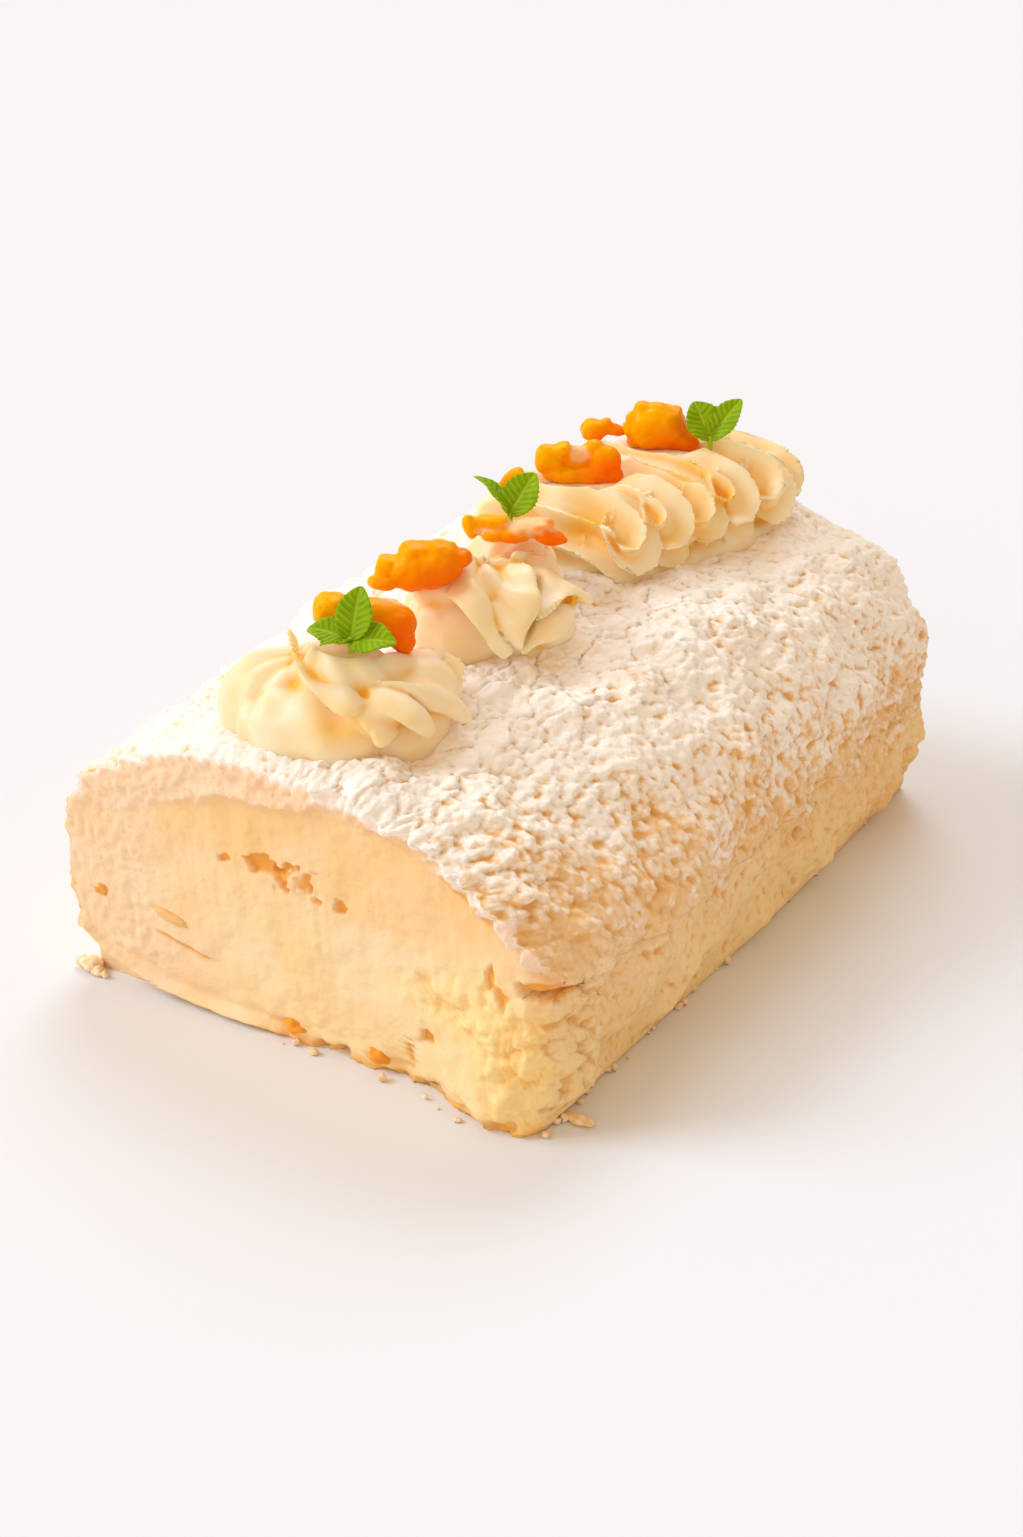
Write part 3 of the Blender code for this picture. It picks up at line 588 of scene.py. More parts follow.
# %% Build the sheet
def match_cut(piece, ring):
    """Points both pieces' surface the same way where they meet on the cut, so that no line shows there."""
    at = places(piece.data)[ring]
    front = at[:, 1] < 0
    x, z = np.where(front, at[:, 0], -at[:, 0]), at[:, 2]
    step = 0.5 * MM

    def height(x, z):
        deep_in = np.full(x.shape, 10 * MM)
        out = np.where(front, cut_end(x, z, deep_in)[0], cut_end(x, z, deep_in, plain=True)[0])
        return out - np.where(front, face_push(x, z), 0)

    slope_x = (height(x + step, z) - height(x - step, z)) / (2 * step)
    slope_z = (height(x, z + step) - height(x, z - step)) / (2 * step)
    facing = np.stack([np.where(front, -slope_x, slope_x), np.where(front, -1, 1), -slope_z], axis=-1)
    normals = np.zeros((len(piece.data.vertices), 3))
    normals[ring] = facing / np.linalg.norm(facing, axis=1, keepdims=True)
    piece.data.normals_split_custom_set_from_vertices(normals.tolist())


def crust_shows(points, crust_z, deep):
    """Where the icing sugar lies, how deep each point is for painted shade, where the skin is moist, and a
    darker amber low at the far end.
    """
    y, z = points[..., 1], points[..., 2]
    ragged = 11 * MM * blotches(points, 15 * MM, 91) + 7 * MM * blotches(points, 5 * MM, 92)
    bare = 9 * MM * blur(-(y + 62 * MM), 26 * MM) * blur(72 * MM - z, 10 * MM)
    sugar = smooth((z + 0.8 * ragged - 12 * MM - bare) / (64 * MM)) + 0.15 * blotches(points, 3 * MM, 93)
    sugar = np.clip(sugar - 0.6 * deep - 0.22 * np.clip(blotches(points, 11 * MM, 95) - 0.1, 0, 1), 0, 1)
    # the low part of the far end is also given the darker amber of the hollows, though it lies no deeper there
    deep = np.maximum(deep, 0.6 * blur(y - 66 * MM, 24 * MM) * blur(16 * MM - z, 9 * MM))
    moist = smooth((46 * MM - crust_z - 0.8 * ragged) / (44 * MM)) * 0.9
    return {"sugar": sugar, "deep": deep, "moist": moist, "foam": 0 * sugar, "sponge": 0 * sugar}


def build_sheet():
    along = np.concatenate([[0, 0.003, 0.008], np.linspace(0.014, 0.986, STATIONS), [0.992, 0.997, 1]])
    angle = column_angles(turns[None, :], along[:, None])
    y = mix(FRONT_Y, BACK_Y, along)[:, None] + 0 * angle
    radius = section_radius(angle, along[:, None])
    points = at_angle(angle, radius, y)
    to_end = np.minimum(y - FRONT_Y, BACK_Y - y)
    off_floor = smooth(points[..., 2] / (9 * MM))
    detail = rough_crust(points)
    slow = baked_relief(points)
    # painted shade: how deep each point lies in the relief, which the material paints as a deeper orange in the
    # hollows
    deep = np.maximum(hollows(detail, 16), 0.45 * hollows(detail, 5))
    step = mix(SEAM_STEP, 0.0, smooth(along / STEP_ALONG))[:, None] * (1 - smooth(turns / STEP_ROUND))[None, :]
    rim = RIM_ROUNDING * np.clip(1 - to_end / RIM_LENGTH, 0, 1) ** 2
    grown = radius + off_floor * (slow + detail - rim) - step
    grown = np.minimum(grown, BELLY_HEIGHT / np.maximum(-np.sin(angle), 0.01))
    crust = at_angle(angle, grown, y)
    crust[..., 2] = np.maximum(crust[..., 2], 0)
    rim_fade = smooth(1 - to_end / FOLLOW_LENGTH)
    crust_numbers = crust_shows(points, crust[..., 2], deep)

    caps = []
    for end, forward in ((0, -1), (-1, 1)):
        inner = np.minimum(layer_radius(angle[end], along[end]), grown[end] - 2 * MM)
        shares = np.linspace(0, 1, CUT_ROWS)[:-1]
        if end:
            shares = shares[::-1]
        cut_radius = inner[None, :] + (grown[end] - inner)[None, :] * shares[:, None]
        cap, shown = end_cap(angle[end], cut_radius, y[end], grown[end], forward)
        shown["moist"] = 0 * shown["foam"]
        caps.append((cap, shown))
        rim_out, _ = cut_end(-forward * crust[..., 0], crust[..., 2], 0 * grown, plain=forward > 0)
        crust[..., 1] += forward * rim_out * rim_fade * (forward * y > 0)
    blocks = [caps[0], (crust, crust_numbers), caps[1]]
    points = np.concatenate([block for block, _ in blocks])
    numbers = {key: np.concatenate([shown[key] for _, shown in blocks]) for key in crust_numbers}
    warp = 1 - smooth((points[..., 1] - FRONT_Y) / WARP_LENGTH)
    points[..., 1] += face_push(points[..., 0], points[..., 2]) * warp
    count, columns = points.shape[:2]
    faces = grid_faces(count, columns, close_rows=True)
    first = [r * columns for r in range(count)]
    last = [r * columns + columns - 1 for r in range(count)]
    hidden = list(range((count - 1) * (columns - 1), len(faces) + 2))
    sheet = make_piece("rolled_meringue_sheet", points, faces, baked_meringue, numbers, (first, last), hidden)
    sheet.data.materials.append(cut_meringue)
    cut_faces = np.zeros(len(sheet.data.polygons), dtype=np.int32)
    per_row = columns - 1
    cut_faces[:(CUT_ROWS - 2) * per_row] = 1
    cut_faces[(count - CUT_ROWS + 1) * per_row:count * per_row] = 1
    sheet.data.polygons.foreach_set("material_index", cut_faces)
    match_cut(sheet, [r * columns + c for r in (0, count - 1) for c in range(columns)])
    return sheet


rolled_sheet = build_sheet()
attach(rolled_sheet, "root")
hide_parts("meringue_sheet")
print("sheet faces:", len(rolled_sheet.data.polygons))

# %% [markdown]
# ## The filling
# The filling is a plug of cream inside the sheet. Only its two ends show. Each end is a set of rings from
# the layer line to the middle, moved by the same relief as the sheet's cut, so that the two meet without
# a step, and the plug's hidden sides are long faces from end to end.

# %% Build the filling
FILLING_ROWS, BACK_ROWS = ((100, 40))
MIDDLE_SHARE = 0.02


def build_filling():
    angle = column_angles(turns, 0.0)
    front = (FRONT_Y, 0.0, -1, np.linspace(MIDDLE_SHARE, 1, FILLING_ROWS))
    back = (BACK_Y, 1.0, 1, np.linspace(1, MIDDLE_SHARE, BACK_ROWS))
    caps = []
    for y, along, forward, shares in (front, back):
        outer = layer_radius(angle, along) - SEAM_CLOSED
        caps.append(end_cap(angle, outer[None, :] * shares[:, None], y, section_radius(angle, along), forward))
    front_cap = caps[0][0]
    front_cap[..., 1] += face_push(front_cap[..., 0], front_cap[..., 2])
    points = np.concatenate([cap for cap, _ in caps])
    numbers = {key: np.concatenate([shown[key] for _, shown in caps]) for key in caps[0][1]}
    count, columns = points.shape[:2]
    faces = grid_faces(count, columns, close_columns=True)
    first = list(range(columns))
    last = [(count - 1) * columns + c for c in range(columns)]
    hidden = list(range((FILLING_ROWS - 1) * columns, FILLING_ROWS * columns))
    plug = make_piece("whipped_filling", points, faces, whipped_filling, numbers, (first, last), hidden)
    match_cut(plug, [r * columns + c for r in (FILLING_ROWS - 1, FILLING_ROWS) for c in range(columns)])
    return plug


filling = build_filling()
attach(filling, "root")
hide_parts("cream_filling")
print("filling faces:", len(filling.data.polygons))

# %% [markdown]
# ### Piped cream
# Double cream, whipped until it holds a ridge, comes out of the nozzle glossy and pale yellow. Light goes
# a few millimetres into it, so its shadows are soft and turn warmer and yellower in the folds, and that warm
# shade is also painted into the folds as a strong yellow. Its fat gives a faint satin shine.

# %% Piped cream material
piped_cream, tree, shader = new_material("whipped_double_cream")
where = add(tree, "TexCoord", out="Object")
folds = add(tree, "TexNoise", {"Vector": where, "Scale": 1 / (12 * MM), "Detail": 3.0})
fine = add(tree, "TexNoise", {"Vector": where, "Scale": 1 / (1.6 * MM), "Detail": 3.0})
deep = add(tree, "Attribute", out="Fac", attribute_name="deep")
patches = add(tree, "MapRange", {0: folds, 1: 0.35, 2: 0.7})
colour = add(tree, "Mix", {0: patches, 6: linear("#FEE7C4"), 7: linear("#FBDCA2")}, out=2, data_type="RGBA")
# painted shade: the deep share of each fold is mixed to a strong yellow
colour = add(tree, "Mix", {0: deep, 6: colour, 7: linear("#FFC238")}, out=2, data_type="RGBA")
tree.links.new(colour, shader.inputs["Base Color"])
shader.inputs["Roughness"].default_value = 0.42
shader.inputs["Specular IOR Level"].default_value = 0.35
shader.inputs["Subsurface Weight"].default_value = 0.45
shader.inputs["Subsurface Scale"].default_value = 5 * MM
shader.inputs["Subsurface Radius"].default_value = (1.0, 0.65, 0.3)
bump = add(tree, "Bump", {"Height": fine, "Strength": 0.15, "Distance": 0.3 * MM})
tree.links.new(bump, shader.inputs["Normal"])
print("made", piped_cream.name)

# %% [markdown]
# ## Piping
# A star nozzle makes a rope with sharp ridges, and the hand lays it in loops across the roll. So the piece
# is a star-shaped section swept along a looping path. Where the loops press together they become one
# mass, which a voxel remesh does well: it keeps the outer skin and drops what is inside.

# %% Rope sizes and path
STAR_POINTS, STAR_DEPTH, STAR_LEAN = 7, 0.46, 0.72
STAR_TWIST = math.radians(25)
PIPED = {
    "piped_cream_back": dict(
        start=(-3 * MM, 15.5 * MM), end=(13 * MM, 96.5 * MM), turns=5.6, reach=(18.5 * MM, 20 * MM),
        rope=10.5 * MM, lift=5.2 * MM, sunk=4.0 * MM, first=190),
}


def crest_height(x, y):
    """The height of the roll's top at a place."""
    along = (y - FRONT_Y) / LENGTH
    angles = np.linspace(0, math.pi, 721)
    radius = section_radius(angles, along)
    k = int(np.argmin(np.abs(radius * np.cos(angles) - x)))
    return float(BELLY_HEIGHT + radius[k] * math.sin(angles[k]))


def rope_middle(swirl, share):
    """The middle of the rope at a share of its length."""
    angle = math.radians(swirl["first"]) - share * swirl["turns"] * math.tau
    x0, y0 = (mix(a, b, share) for a, b in zip(swirl["start"], swirl["end"]))
    reach = mix(*swirl["reach"], share)
    over = 0.5 + 0.5 * math.sin(angle)
    z = swirl["crest"](y0) + swirl["rope"] - swirl["sunk"] + swirl["lift"] * over
    z -= 0.10 * reach * abs(math.cos(angle)) ** 3
    return Vector((x0 + reach * math.cos(angle), y0 + 0.22 * reach * math.sin(angle), z))


def rope_size(swirl, share):
    ends = min(1.0, share / 0.07, (1 - share) / 0.10)
    closing = math.sqrt(max(0.02, 1 - (1 - ends) ** 2))
    swell = 1 + 0.08 * math.sin(share * swirl["turns"] * 4.1 + 1)
    return swirl["rope"] * closing * swell


# %% Melt shells into one skin
def melt(piece, voxel, rounds):
    """Fuses overlapping shells into one skin and smooths it."""
    fuse = piece.modifiers.new("fuse", "REMESH")
    fuse.mode = "VOXEL"
    fuse.voxel_size = voxel
    ease = piece.modifiers.new("ease", "SMOOTH")
    ease.factor = 0.5
    ease.iterations = rounds
    bpy.context.view_layer.update()
    fused = bpy.data.meshes.new_from_object(piece.evaluated_get(bpy.context.evaluated_depsgraph_get()))
    piece.modifiers.clear()
    piece.data = fused
    fused.shade_smooth()
    return piece


# %% Sweep the rope
ROPE_SIDES, TURN_STEPS = STAR_POINTS * 14, 80
CORE_SHARE = 0.66
BED_REACH, BED_HEIGHT = 8 * MM, 9 * MM
RIDGE, RIDGES, RIDGE_RISE = 0.45 * MM, 11, 3.2 * MM
# the place and half sizes of one valley whose shade is painted yellow
PAINTED_VALLEY_SHADE, VALLEY_SIZE = (7, -92.5, 83), (6.5, 5, 3.6)
NESTS = [(-3, 36, 105.8, 10), (4, 73, 107, 9), (-3, -68, 94.5, 12)]
CREAM_VOXEL = 0.5 * MM


def star_reach(around):
    """The nozzle's star: thin ridges that lean to one side, with a deep valley behind each."""
    u = (STAR_POINTS * around / math.tau) % 1
    v = np.where(u < STAR_LEAN, 0.5 * u / STAR_LEAN, 0.5 + 0.5 * (u - STAR_LEAN) / (1 - STAR_LEAN))
    lip = np.exp(-(np.minimum(u, 1 - u) / 0.11) ** 2)
    return 1.02 + 0.11 * lip - STAR_DEPTH * np.sin(math.pi * v) ** 0.8


def closed_tubes(name, tubes):
    """One piece of cream out of overlapping tubes that are melted together."""
    points, faces = join_shells(tubes)
    piece = make_piece(name, points, NO_QUADS, piped_cream, None, faces)
    return melt(piece, CREAM_VOXEL, 3)


def build_rope(name, swirl):
    ys = np.linspace(swirl["start"][1], swirl["end"][1], 12)
    heights = [crest_height(mix(swirl["start"][0], swirl["end"][0], k / 11), y) for k, y in enumerate(ys)]
    swirl = dict(swirl, crest=lambda y: float(np.interp(y, ys, heights)))
    steps = int(swirl["turns"] * TURN_STEPS)
    rows, heart = [], []
    for step in range(steps + 1):
        share = step / steps
        middle = rope_middle(swirl, share)
        ahead = (rope_middle(swirl, share + 0.002) - rope_middle(swirl, share - 0.002)).normalized()
        axis = Vector((mix(swirl["start"][0], swirl["end"][0], share), middle.y, middle.z - swirl["rope"]))
        outward = middle - axis
        outward = (outward - ahead * outward.dot(ahead)).normalized()
        sideways = ahead.cross(outward)
        size = rope_size(swirl, share)
        around = math.tau * np.arange(ROPE_SIDES) / ROPE_SIDES
        ripple = 0.02 * math.sin(share * swirl["turns"] * 23) + 0.012 * math.sin(share * swirl["turns"] * 51)
        reach = size * (star_reach(around) + ripple)
        around = around + STAR_TWIST * share * swirl["turns"]
        section = np.outer(np.cos(around), outward) + np.outer(np.sin(around), sideways)
        rows.append(np.array(middle) + reach[:, None] * section)
        heart.append(np.array(middle) + CORE_SHARE * size * section)
    return closed_tubes(name, [np.stack(rows), np.stack(heart), rope_bed(swirl)])


def rope_bed(swirl):
    """A flat bed of cream under the loops, so that none of them stands off the crust."""
    rings = []
    for share in np.linspace(0, 1, 40):
        x, y = (mix(a, b, share) for a, b in zip(swirl["start"], swirl["end"]))
        closing = math.sqrt(max(0.02, 1 - (2 * share - 1) ** 6))
        around = math.tau * np.arange(40) / 40
        across = (mix(*swirl["reach"], share) + BED_REACH) * closing * np.cos(around)
        up = swirl["crest"](y) + BED_HEIGHT * closing * np.sin(around) - 0.004 / MM * across ** 2
        rings.append(np.stack([x + across, y + 0 * across, up], axis=-1))
    return np.stack(rings)


def shade_folds(rope):
    """Stores how deep each point lies in a fold, how far what is round it stands in front of it, as painted
    shade, and adds painted shade in one valley.
    """
    data = rope.data
    at, normal = places(data), places(data, "normal")
    edges = np.empty(len(data.edges) * 2, dtype=np.int64)
    data.edges.foreach_get("vertices", edges)
    start, end = edges[::2], edges[1::2]
    links = np.maximum(np.bincount(edges, minlength=len(at)), 1)
    average, deep = at.copy(), 0
    for rounds, fold in ((26, 0.75 * MM), (110, 1.9 * MM)):
        for _ in range(rounds // (1)):
            sums = [np.bincount(start, average[end, k], len(at)) + np.bincount(end, average[start, k], len(at))
                    for k in range(3)]
            average = np.stack(sums, axis=-1) / links[:, None]
        deep = np.maximum(deep, np.einsum("ij,ij->i", average - at, normal) / fold)
    # painted shade in one valley of the front pile
    far = np.linalg.norm((at / MM - PAINTED_VALLEY_SHADE) / VALLEY_SIZE, axis=1)
    deep = np.maximum(deep, 0.8 * np.exp(-far ** 2))
    store(data, "deep", np.clip(deep, 0, 1))


def press_fruit(rope):
    """Lowers the cream under and round each piece of fruit; a nest is a place, a height and a radius in mm."""
    at = places(rope.data)
    for x, y, z, wide in NESTS:
        far = np.hypot(at[:, 0] - x * MM, at[:, 1] - y * MM) - wide * MM
        limit = z * MM + 0.55 * np.maximum(far, 0)
        over = np.maximum(at[:, 2] - limit, 0)
        at[:, 2] -= over * blur(14 * MM - far, 8 * MM) * 0.9
    move_points(rope.data, at)


def ruffle(rope, middle=None):
    """Lets the cream swell a little along its normals, and puts soft spiral ridges round a pile's middle."""
    at, normal = places(rope.data), places(rope.data, "normal")
    swell = 1.0 * MM * blotches(at, 10 * MM, 401)
    swell = swell + 0.3 * MM * blotches(at * np.array([0.6, 1, 1.3]), 4 * MM, 402)
    if middle:
        turned = np.arctan2(at[:, 1] - middle[1] * MM, at[:, 0] - middle[0] * MM)
        wave = RIDGES * turned + at[:, 2] / RIDGE_RISE + 3 * blotches(at, 14 * MM, 403)
        swell = swell + RIDGE * np.sin(wave)
    move_points(rope.data, at + normal * swell[:, None])


def finish_cream(rope, node, middle=None):
    """Shapes and colours a melted piece of cream, and lets it stand for its node."""
    ruffle(rope, middle)
    press_fruit(rope)
    shade_folds(rope)
    rope.data.shade_smooth()
    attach(rope, "root")
    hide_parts(node)
    print(rope.name, "faces:", len(rope.data.polygons))


for name, swirl in PIPED.items():
    finish_cream(build_rope(name.replace("piped_cream", "piped_rope"), swirl), name)

# %% [markdown]
# ## Petals of cream
# Where the nozzle is twisted and pulled away, the ridges of the star lie over one another as petals. The two
# nearer swirls show this, so they are made petal by petal. A petal is a blade between two edges: a first one
# that is tucked under its neighbour, and a lip that stands free. The blade swells in its middle and thins to
# the lip. The petals lie on a heap of plain lumps, and all of it is melted into one skin. In the table a
# lump is a place and its three half sizes, and a petal is its swelling in millimetres and its two edges.
#
# The edges were marked on the photograph. A mark is a place in it, across and down in pixels, and
# how far out it lies, as a share of the size of the mound that the petals make. The camera is known, so
# the line of sight through a mark gives the place on the mound that it stands for.

# %% The photograph's camera
FRAME_WIDE, FRAME_HIGH, FOCAL_PIXELS = 1023, 1537, 2033.0
CAMERA_PLACE = np.array((260.1, -436.2, 276.1)) * MM
CAMERA_TURN, CAMERA_DOWN = math.radians(31.12), math.radians(25.54)
LOOK = np.array((-math.sin(CAMERA_TURN) * math.cos(CAMERA_DOWN), math.cos(CAMERA_TURN) * math.cos(CAMERA_DOWN),
                 -math.sin(CAMERA_DOWN)))
TO_THE_RIGHT = np.array((math.cos(CAMERA_TURN), math.sin(CAMERA_TURN), 0))
UPWARDS = np.cross(TO_THE_RIGHT, LOOK)
GROWING = 1.01


def seen_on(mound, mark):
    """The place in millimetres, to a tenth, where the line of sight through a mark first meets the mound."""
    across, down, share = mark
    middle, sizes = (np.array(values) * MM for values in mound)
    sight = LOOK + TO_THE_RIGHT * (across - FRAME_WIDE / 2) / FOCAL_PIXELS
    sight = sight - UPWARDS * (down - FRAME_HIGH / 2) / FOCAL_PIXELS
    under_root = -1.0
    while under_root < 0:  # a mound that the line misses grows until they meet
        start, step = (CAMERA_PLACE - middle) / (sizes * share), sight / (sizes * share)
        square, slope = step @ step, start @ step
        under_root = slope ** 2 - square * (start @ start - 1)
        share *= GROWING
    return np.round((CAMERA_PLACE - sight * (slope + math.sqrt(under_root)) / square) / MM, 1)


print("camera, mm:", CAMERA_PLACE / MM, "looking along", LOOK.round(3))

# %% Petal tables
PILES = {
    "piped_cream_front": dict(
        middle=(-11, -74, 74), mound=((-11, -74, 78), (33, 25, 19)),
        lumps=[((-7, -72, 76.5), (27, 18, 16)), ((-19, -77, 76.5), (19, 15.5, 15)),
               ((-8, -84, 76), (20, 14, 12)), ((-4, -77, 88.5), (13, 10, 8)),
               ((8, -66, 83.5), (13, 12, 7.5)), ((8.5, -82.5, 83.5), (8, 6.5, 5))],
        petals=dict(
            fold=(1.2,
                  [(296, 640, 0.84), (304, 666, 0.86), (320, 679, 0.86), (340, 683, 0.88), (357, 687, 0.9),
                   (366, 697, 0.92)],
                  [(286, 627, 1), (290, 655, 1.03), (300, 678, 1.05), (313, 698, 1.06), (327, 712, 1.06),
                   (341, 718, 1.05), (356, 716, 1)]),
            short=(1.0,
                   [(367, 705, 0.88), (382, 713, 0.9), (395, 722, 0.92), (401, 733, 0.92)],
                   [(357, 717, 0.96), (364, 726, 1), (374, 734, 1.02), (381, 745, 1)]),
            middle=(1.2,
                    [(369, 685, 0.86), (390, 686, 0.9), (408, 695, 0.95), (420, 705, 1), (431, 715, 1.02),
                     (438, 728, 1)],
                    [(368, 703, 0.95), (380, 711, 1), (395, 720, 1.04), (408, 727, 1.06), (419, 735, 1.05),
                     (430, 741, 1)]),
            right=(1.4,
                   [(371, 682, 0.9), (386, 680, 0.97), (400, 680, 1), (413, 683, 1.02), (425, 677, 1.05),
                    (440, 681, 1.07), (453, 690, 1.08), (463, 703, 1.08), (468, 719, 1.05)],
                   [(388, 690, 0.8), (404, 697, 0.86), (419, 706, 0.93), (432, 712, 1), (446, 714, 1.04),
                    (458, 718, 1.06), (467, 722, 1.04)]),
            back=(1.6,
                  [(340, 656, 0.9), (360, 657, 0.97), (380, 656, 1), (398, 650, 1), (412, 647, 1),
                   (425, 642, 1), (434, 647, 1), (446, 648, 1), (458, 655, 1), (466, 662, 1)],
                  [(345, 678, 0.8), (362, 677, 0.84), (380, 677, 0.86), (400, 681, 0.88), (416, 684, 0.9),
                   (430, 684, 0.9), (444, 688, 0.93), (455, 692, 0.98), (464, 684, 1)]),
        )),
    "piped_cream_middle": dict(
        middle=(-1, -22, 80), mound=((-1, -22, 84), (29, 26, 20)),
        lumps=[((0, -21, 82), (22, 17.5, 15)), ((2, -34, 86), (12, 9, 10)), ((-3, -30, 96), (11, 9, 7)),
               ((16, -19, 87), (10, 12, 7)), ((8, -12, 94.5), (12, 8, 6)), ((-2, -3, 90), (15, 11, 15.5)),
               ((5.5, -27, 95.5), (9, 9, 6))],
        petals=dict(
            left_fold=(1.4,
                       [(470, 572, 0.9), (479, 584, 0.92), (486, 597, 0.92), (492, 612, 0.92),
                        (496, 626, 0.93), (504, 639, 0.96), (513, 651, 0.98)],
                       [(444, 594, 1), (457, 602, 1.04), (466, 615, 1.06), (475, 632, 1.08),
                        (485, 646, 1.08), (495, 656, 1.06), (504, 659, 1)]),
            centre=(1.8,
                    [(524, 556, 0.98), (532, 570, 1.04), (538, 585, 1.06), (541, 600, 1.06),
                     (538, 613, 1.04), (531, 626, 1), (524, 640, 0.98)],
                    [(485, 572, 0.85), (489, 592, 0.86), (491, 610, 0.88), (498, 626, 0.9),
                     (506, 637, 0.93), (514, 646, 0.97), (521, 650, 0.98)]),
            right_flap=(1.4,
                        [(545, 552, 0.95), (556, 568, 0.97), (568, 580, 1), (580, 588, 1.03),
                         (590, 594, 1.05), (596, 603, 1.03)],
                        [(536, 620, 0.98), (549, 612, 1.04), (561, 602, 1.08), (570, 595, 1.09),
                         (580, 596, 1.08), (590, 608, 1.04)]),
            low_right=(1.2,
                       [(538, 622, 0.9), (552, 613, 0.94), (565, 603, 0.97), (574, 600, 0.98)],
                       [(522, 655, 0.98), (544, 644, 1.02), (560, 637, 1.03), (571, 625, 1.02),
                        (578, 610, 0.98)]),
            top=(1.0,
                 [(462, 559, 1), (474, 554, 1.02), (488, 557, 1.02), (501, 560, 1), (514, 553, 1),
                  (530, 546, 1), (548, 546, 1), (562, 552, 0.98)],
                 [(467, 572, 0.88), (478, 566, 0.88), (490, 568, 0.88), (503, 570, 0.88), (516, 565, 0.88),
                  (531, 560, 0.9), (546, 562, 0.92), (558, 568, 0.93)]),
        )),
}

# %% Build the piles of petals
def ball(around=56, down=36):
    """Points of a unit ball whose poles are on X, row by row from pole to pole."""
    polar = np.linspace(0.02, math.pi - 0.02, down)[:, None]
    turn = math.tau * np.arange(around)[None, :] / around
    wide = np.sin(polar)
    return np.stack([np.cos(polar) + 0 * turn, wide * np.cos(turn), wide * np.sin(turn)], axis=-1)


PETAL_ROWS, PETAL_COLUMNS = 34, 11
LIP_THICK, PETAL_THICK = 1.2 * MM, 4.4 * MM


def eased(line, count):
    """Points evenly along a soft line through the given ones."""
    line = np.array(line, dtype=float) * MM
    far = np.concatenate([[0], np.cumsum(np.linalg.norm(np.diff(line, axis=0), axis=1))])
    at = np.linspace(0, far[-1], count)
    found = np.stack([np.interp(at, far, line[:, k]) for k in range(3)], axis=-1)
    for _ in range(4):
        found[1:-1] = (found[:-2] + 2 * found[1:-1] + found[2:]) / 4
    return found


def petal(middle, swell, tucked, lip):
    """Rings round a blade of cream between its tucked edge and its lip."""
    first, second = eased(tucked, PETAL_ROWS), eased(lip, PETAL_ROWS)
    across = np.linspace(0, 1, PETAL_COLUMNS)[None, :, None]
    skin = mix(first[:, None], second[:, None], across)
    out = skin - np.array(middle) * MM
    out = out / np.linalg.norm(out, axis=-1, keepdims=True)
    ends = np.sin(np.linspace(0.25, math.pi - 0.25, PETAL_ROWS))[:, None, None] ** 0.4
    arch = np.sin(math.pi * across)
    upper = skin + out * swell * MM * arch * ends
    lower = upper - out * (LIP_THICK + (PETAL_THICK - LIP_THICK) * arch) * ends
    return np.concatenate([upper, lower[:, ::-1]], axis=1)


def build_pile(name, pile):
    """The lumps and the petals of a pile, melted together."""
    tubes = [ball() * np.array(size) * MM + np.array(at) * MM for at, size in pile["lumps"]]
    for swell, *edges in pile["petals"].values():
        tucked, lip = ([seen_on(pile["mound"], mark) for mark in edge] for edge in edges)
        tubes.append(petal(pile["middle"], swell, tucked, lip))
    return closed_tubes(name, tubes)


for name, pile in PILES.items():
    finish_cream(build_pile(name.replace("piped_cream", "piped_petals"), pile), name, pile["middle"])

# %% [markdown]
# ### Fruit in syrup
# The slices are soft orange fruit, such as apricot, that has stood in syrup. The flesh is full of water, so
# light goes right into it and comes out more orange, its index is near that of water, 1.36, and the wet
# skin has sharp highlights.

# %% Fruit material
fruit_flesh, tree, shader = new_material("syrup_soaked_apricot")
where = add(tree, "TexCoord", out="Object")
blotch = add(tree, "TexNoise", {"Vector": where, "Scale": 1 / (7 * MM), "Detail": 4.0})
fibre = add(tree, "TexNoise", {"Vector": where, "Scale": 1 / (1.5 * MM), "Detail": 3.0})
deeper_orange, pale = (add(tree, "Attribute", out="Fac", attribute_name=key) for key in ("deeper_orange", "pale"))
patches = add(tree, "MapRange", {0: blotch, 1: 0.55, 2: 0.8, 4: 0.6})
colour = add(tree, "Mix", {0: deeper_orange, 6: linear("#FFB200"), 7: linear("#FF7000")}, out=2, data_type="RGBA")
for share, over in ((patches, linear("#FF9A00")), (pale, linear("#FAC990"))):
    colour = add(tree, "Mix", {0: share, 6: colour, 7: over}, out=2, data_type="RGBA")
tree.links.new(colour, shader.inputs["Base Color"])
shader.inputs["Roughness"].default_value = 0.3
shader.inputs["IOR"].default_value = 1.36
shader.inputs["Specular IOR Level"].default_value = 0.06
shader.inputs["Subsurface Weight"].default_value = 0.5
shader.inputs["Subsurface Scale"].default_value = 4 * MM
shader.inputs["Subsurface Radius"].default_value = (1.0, 0.35, 0.05)
shader.inputs["Coat Weight"].default_value = 0.05
shader.inputs["Coat Roughness"].default_value = 0.1
bump = add(tree, "Bump", {"Height": fibre, "Strength": 0.25, "Distance": 0.4 * MM})
tree.links.new(bump, shader.inputs["Normal"])
print("made", fruit_flesh.name)

# %% [markdown]
# ## Fruit slices
# A slice of soft fruit has rounded ends, curls and torn edges, but no regular form. Each is made of a few
# squared-off balls that overlap, and a voxel remesh with a little smoothing melts them into one lump of
# flesh. A lump is a place, three half sizes and a tilt in degrees, and a pale patch is a place and three
# half sizes. Both are in millimetres from the middle of the slice, along the slice, across it and up.

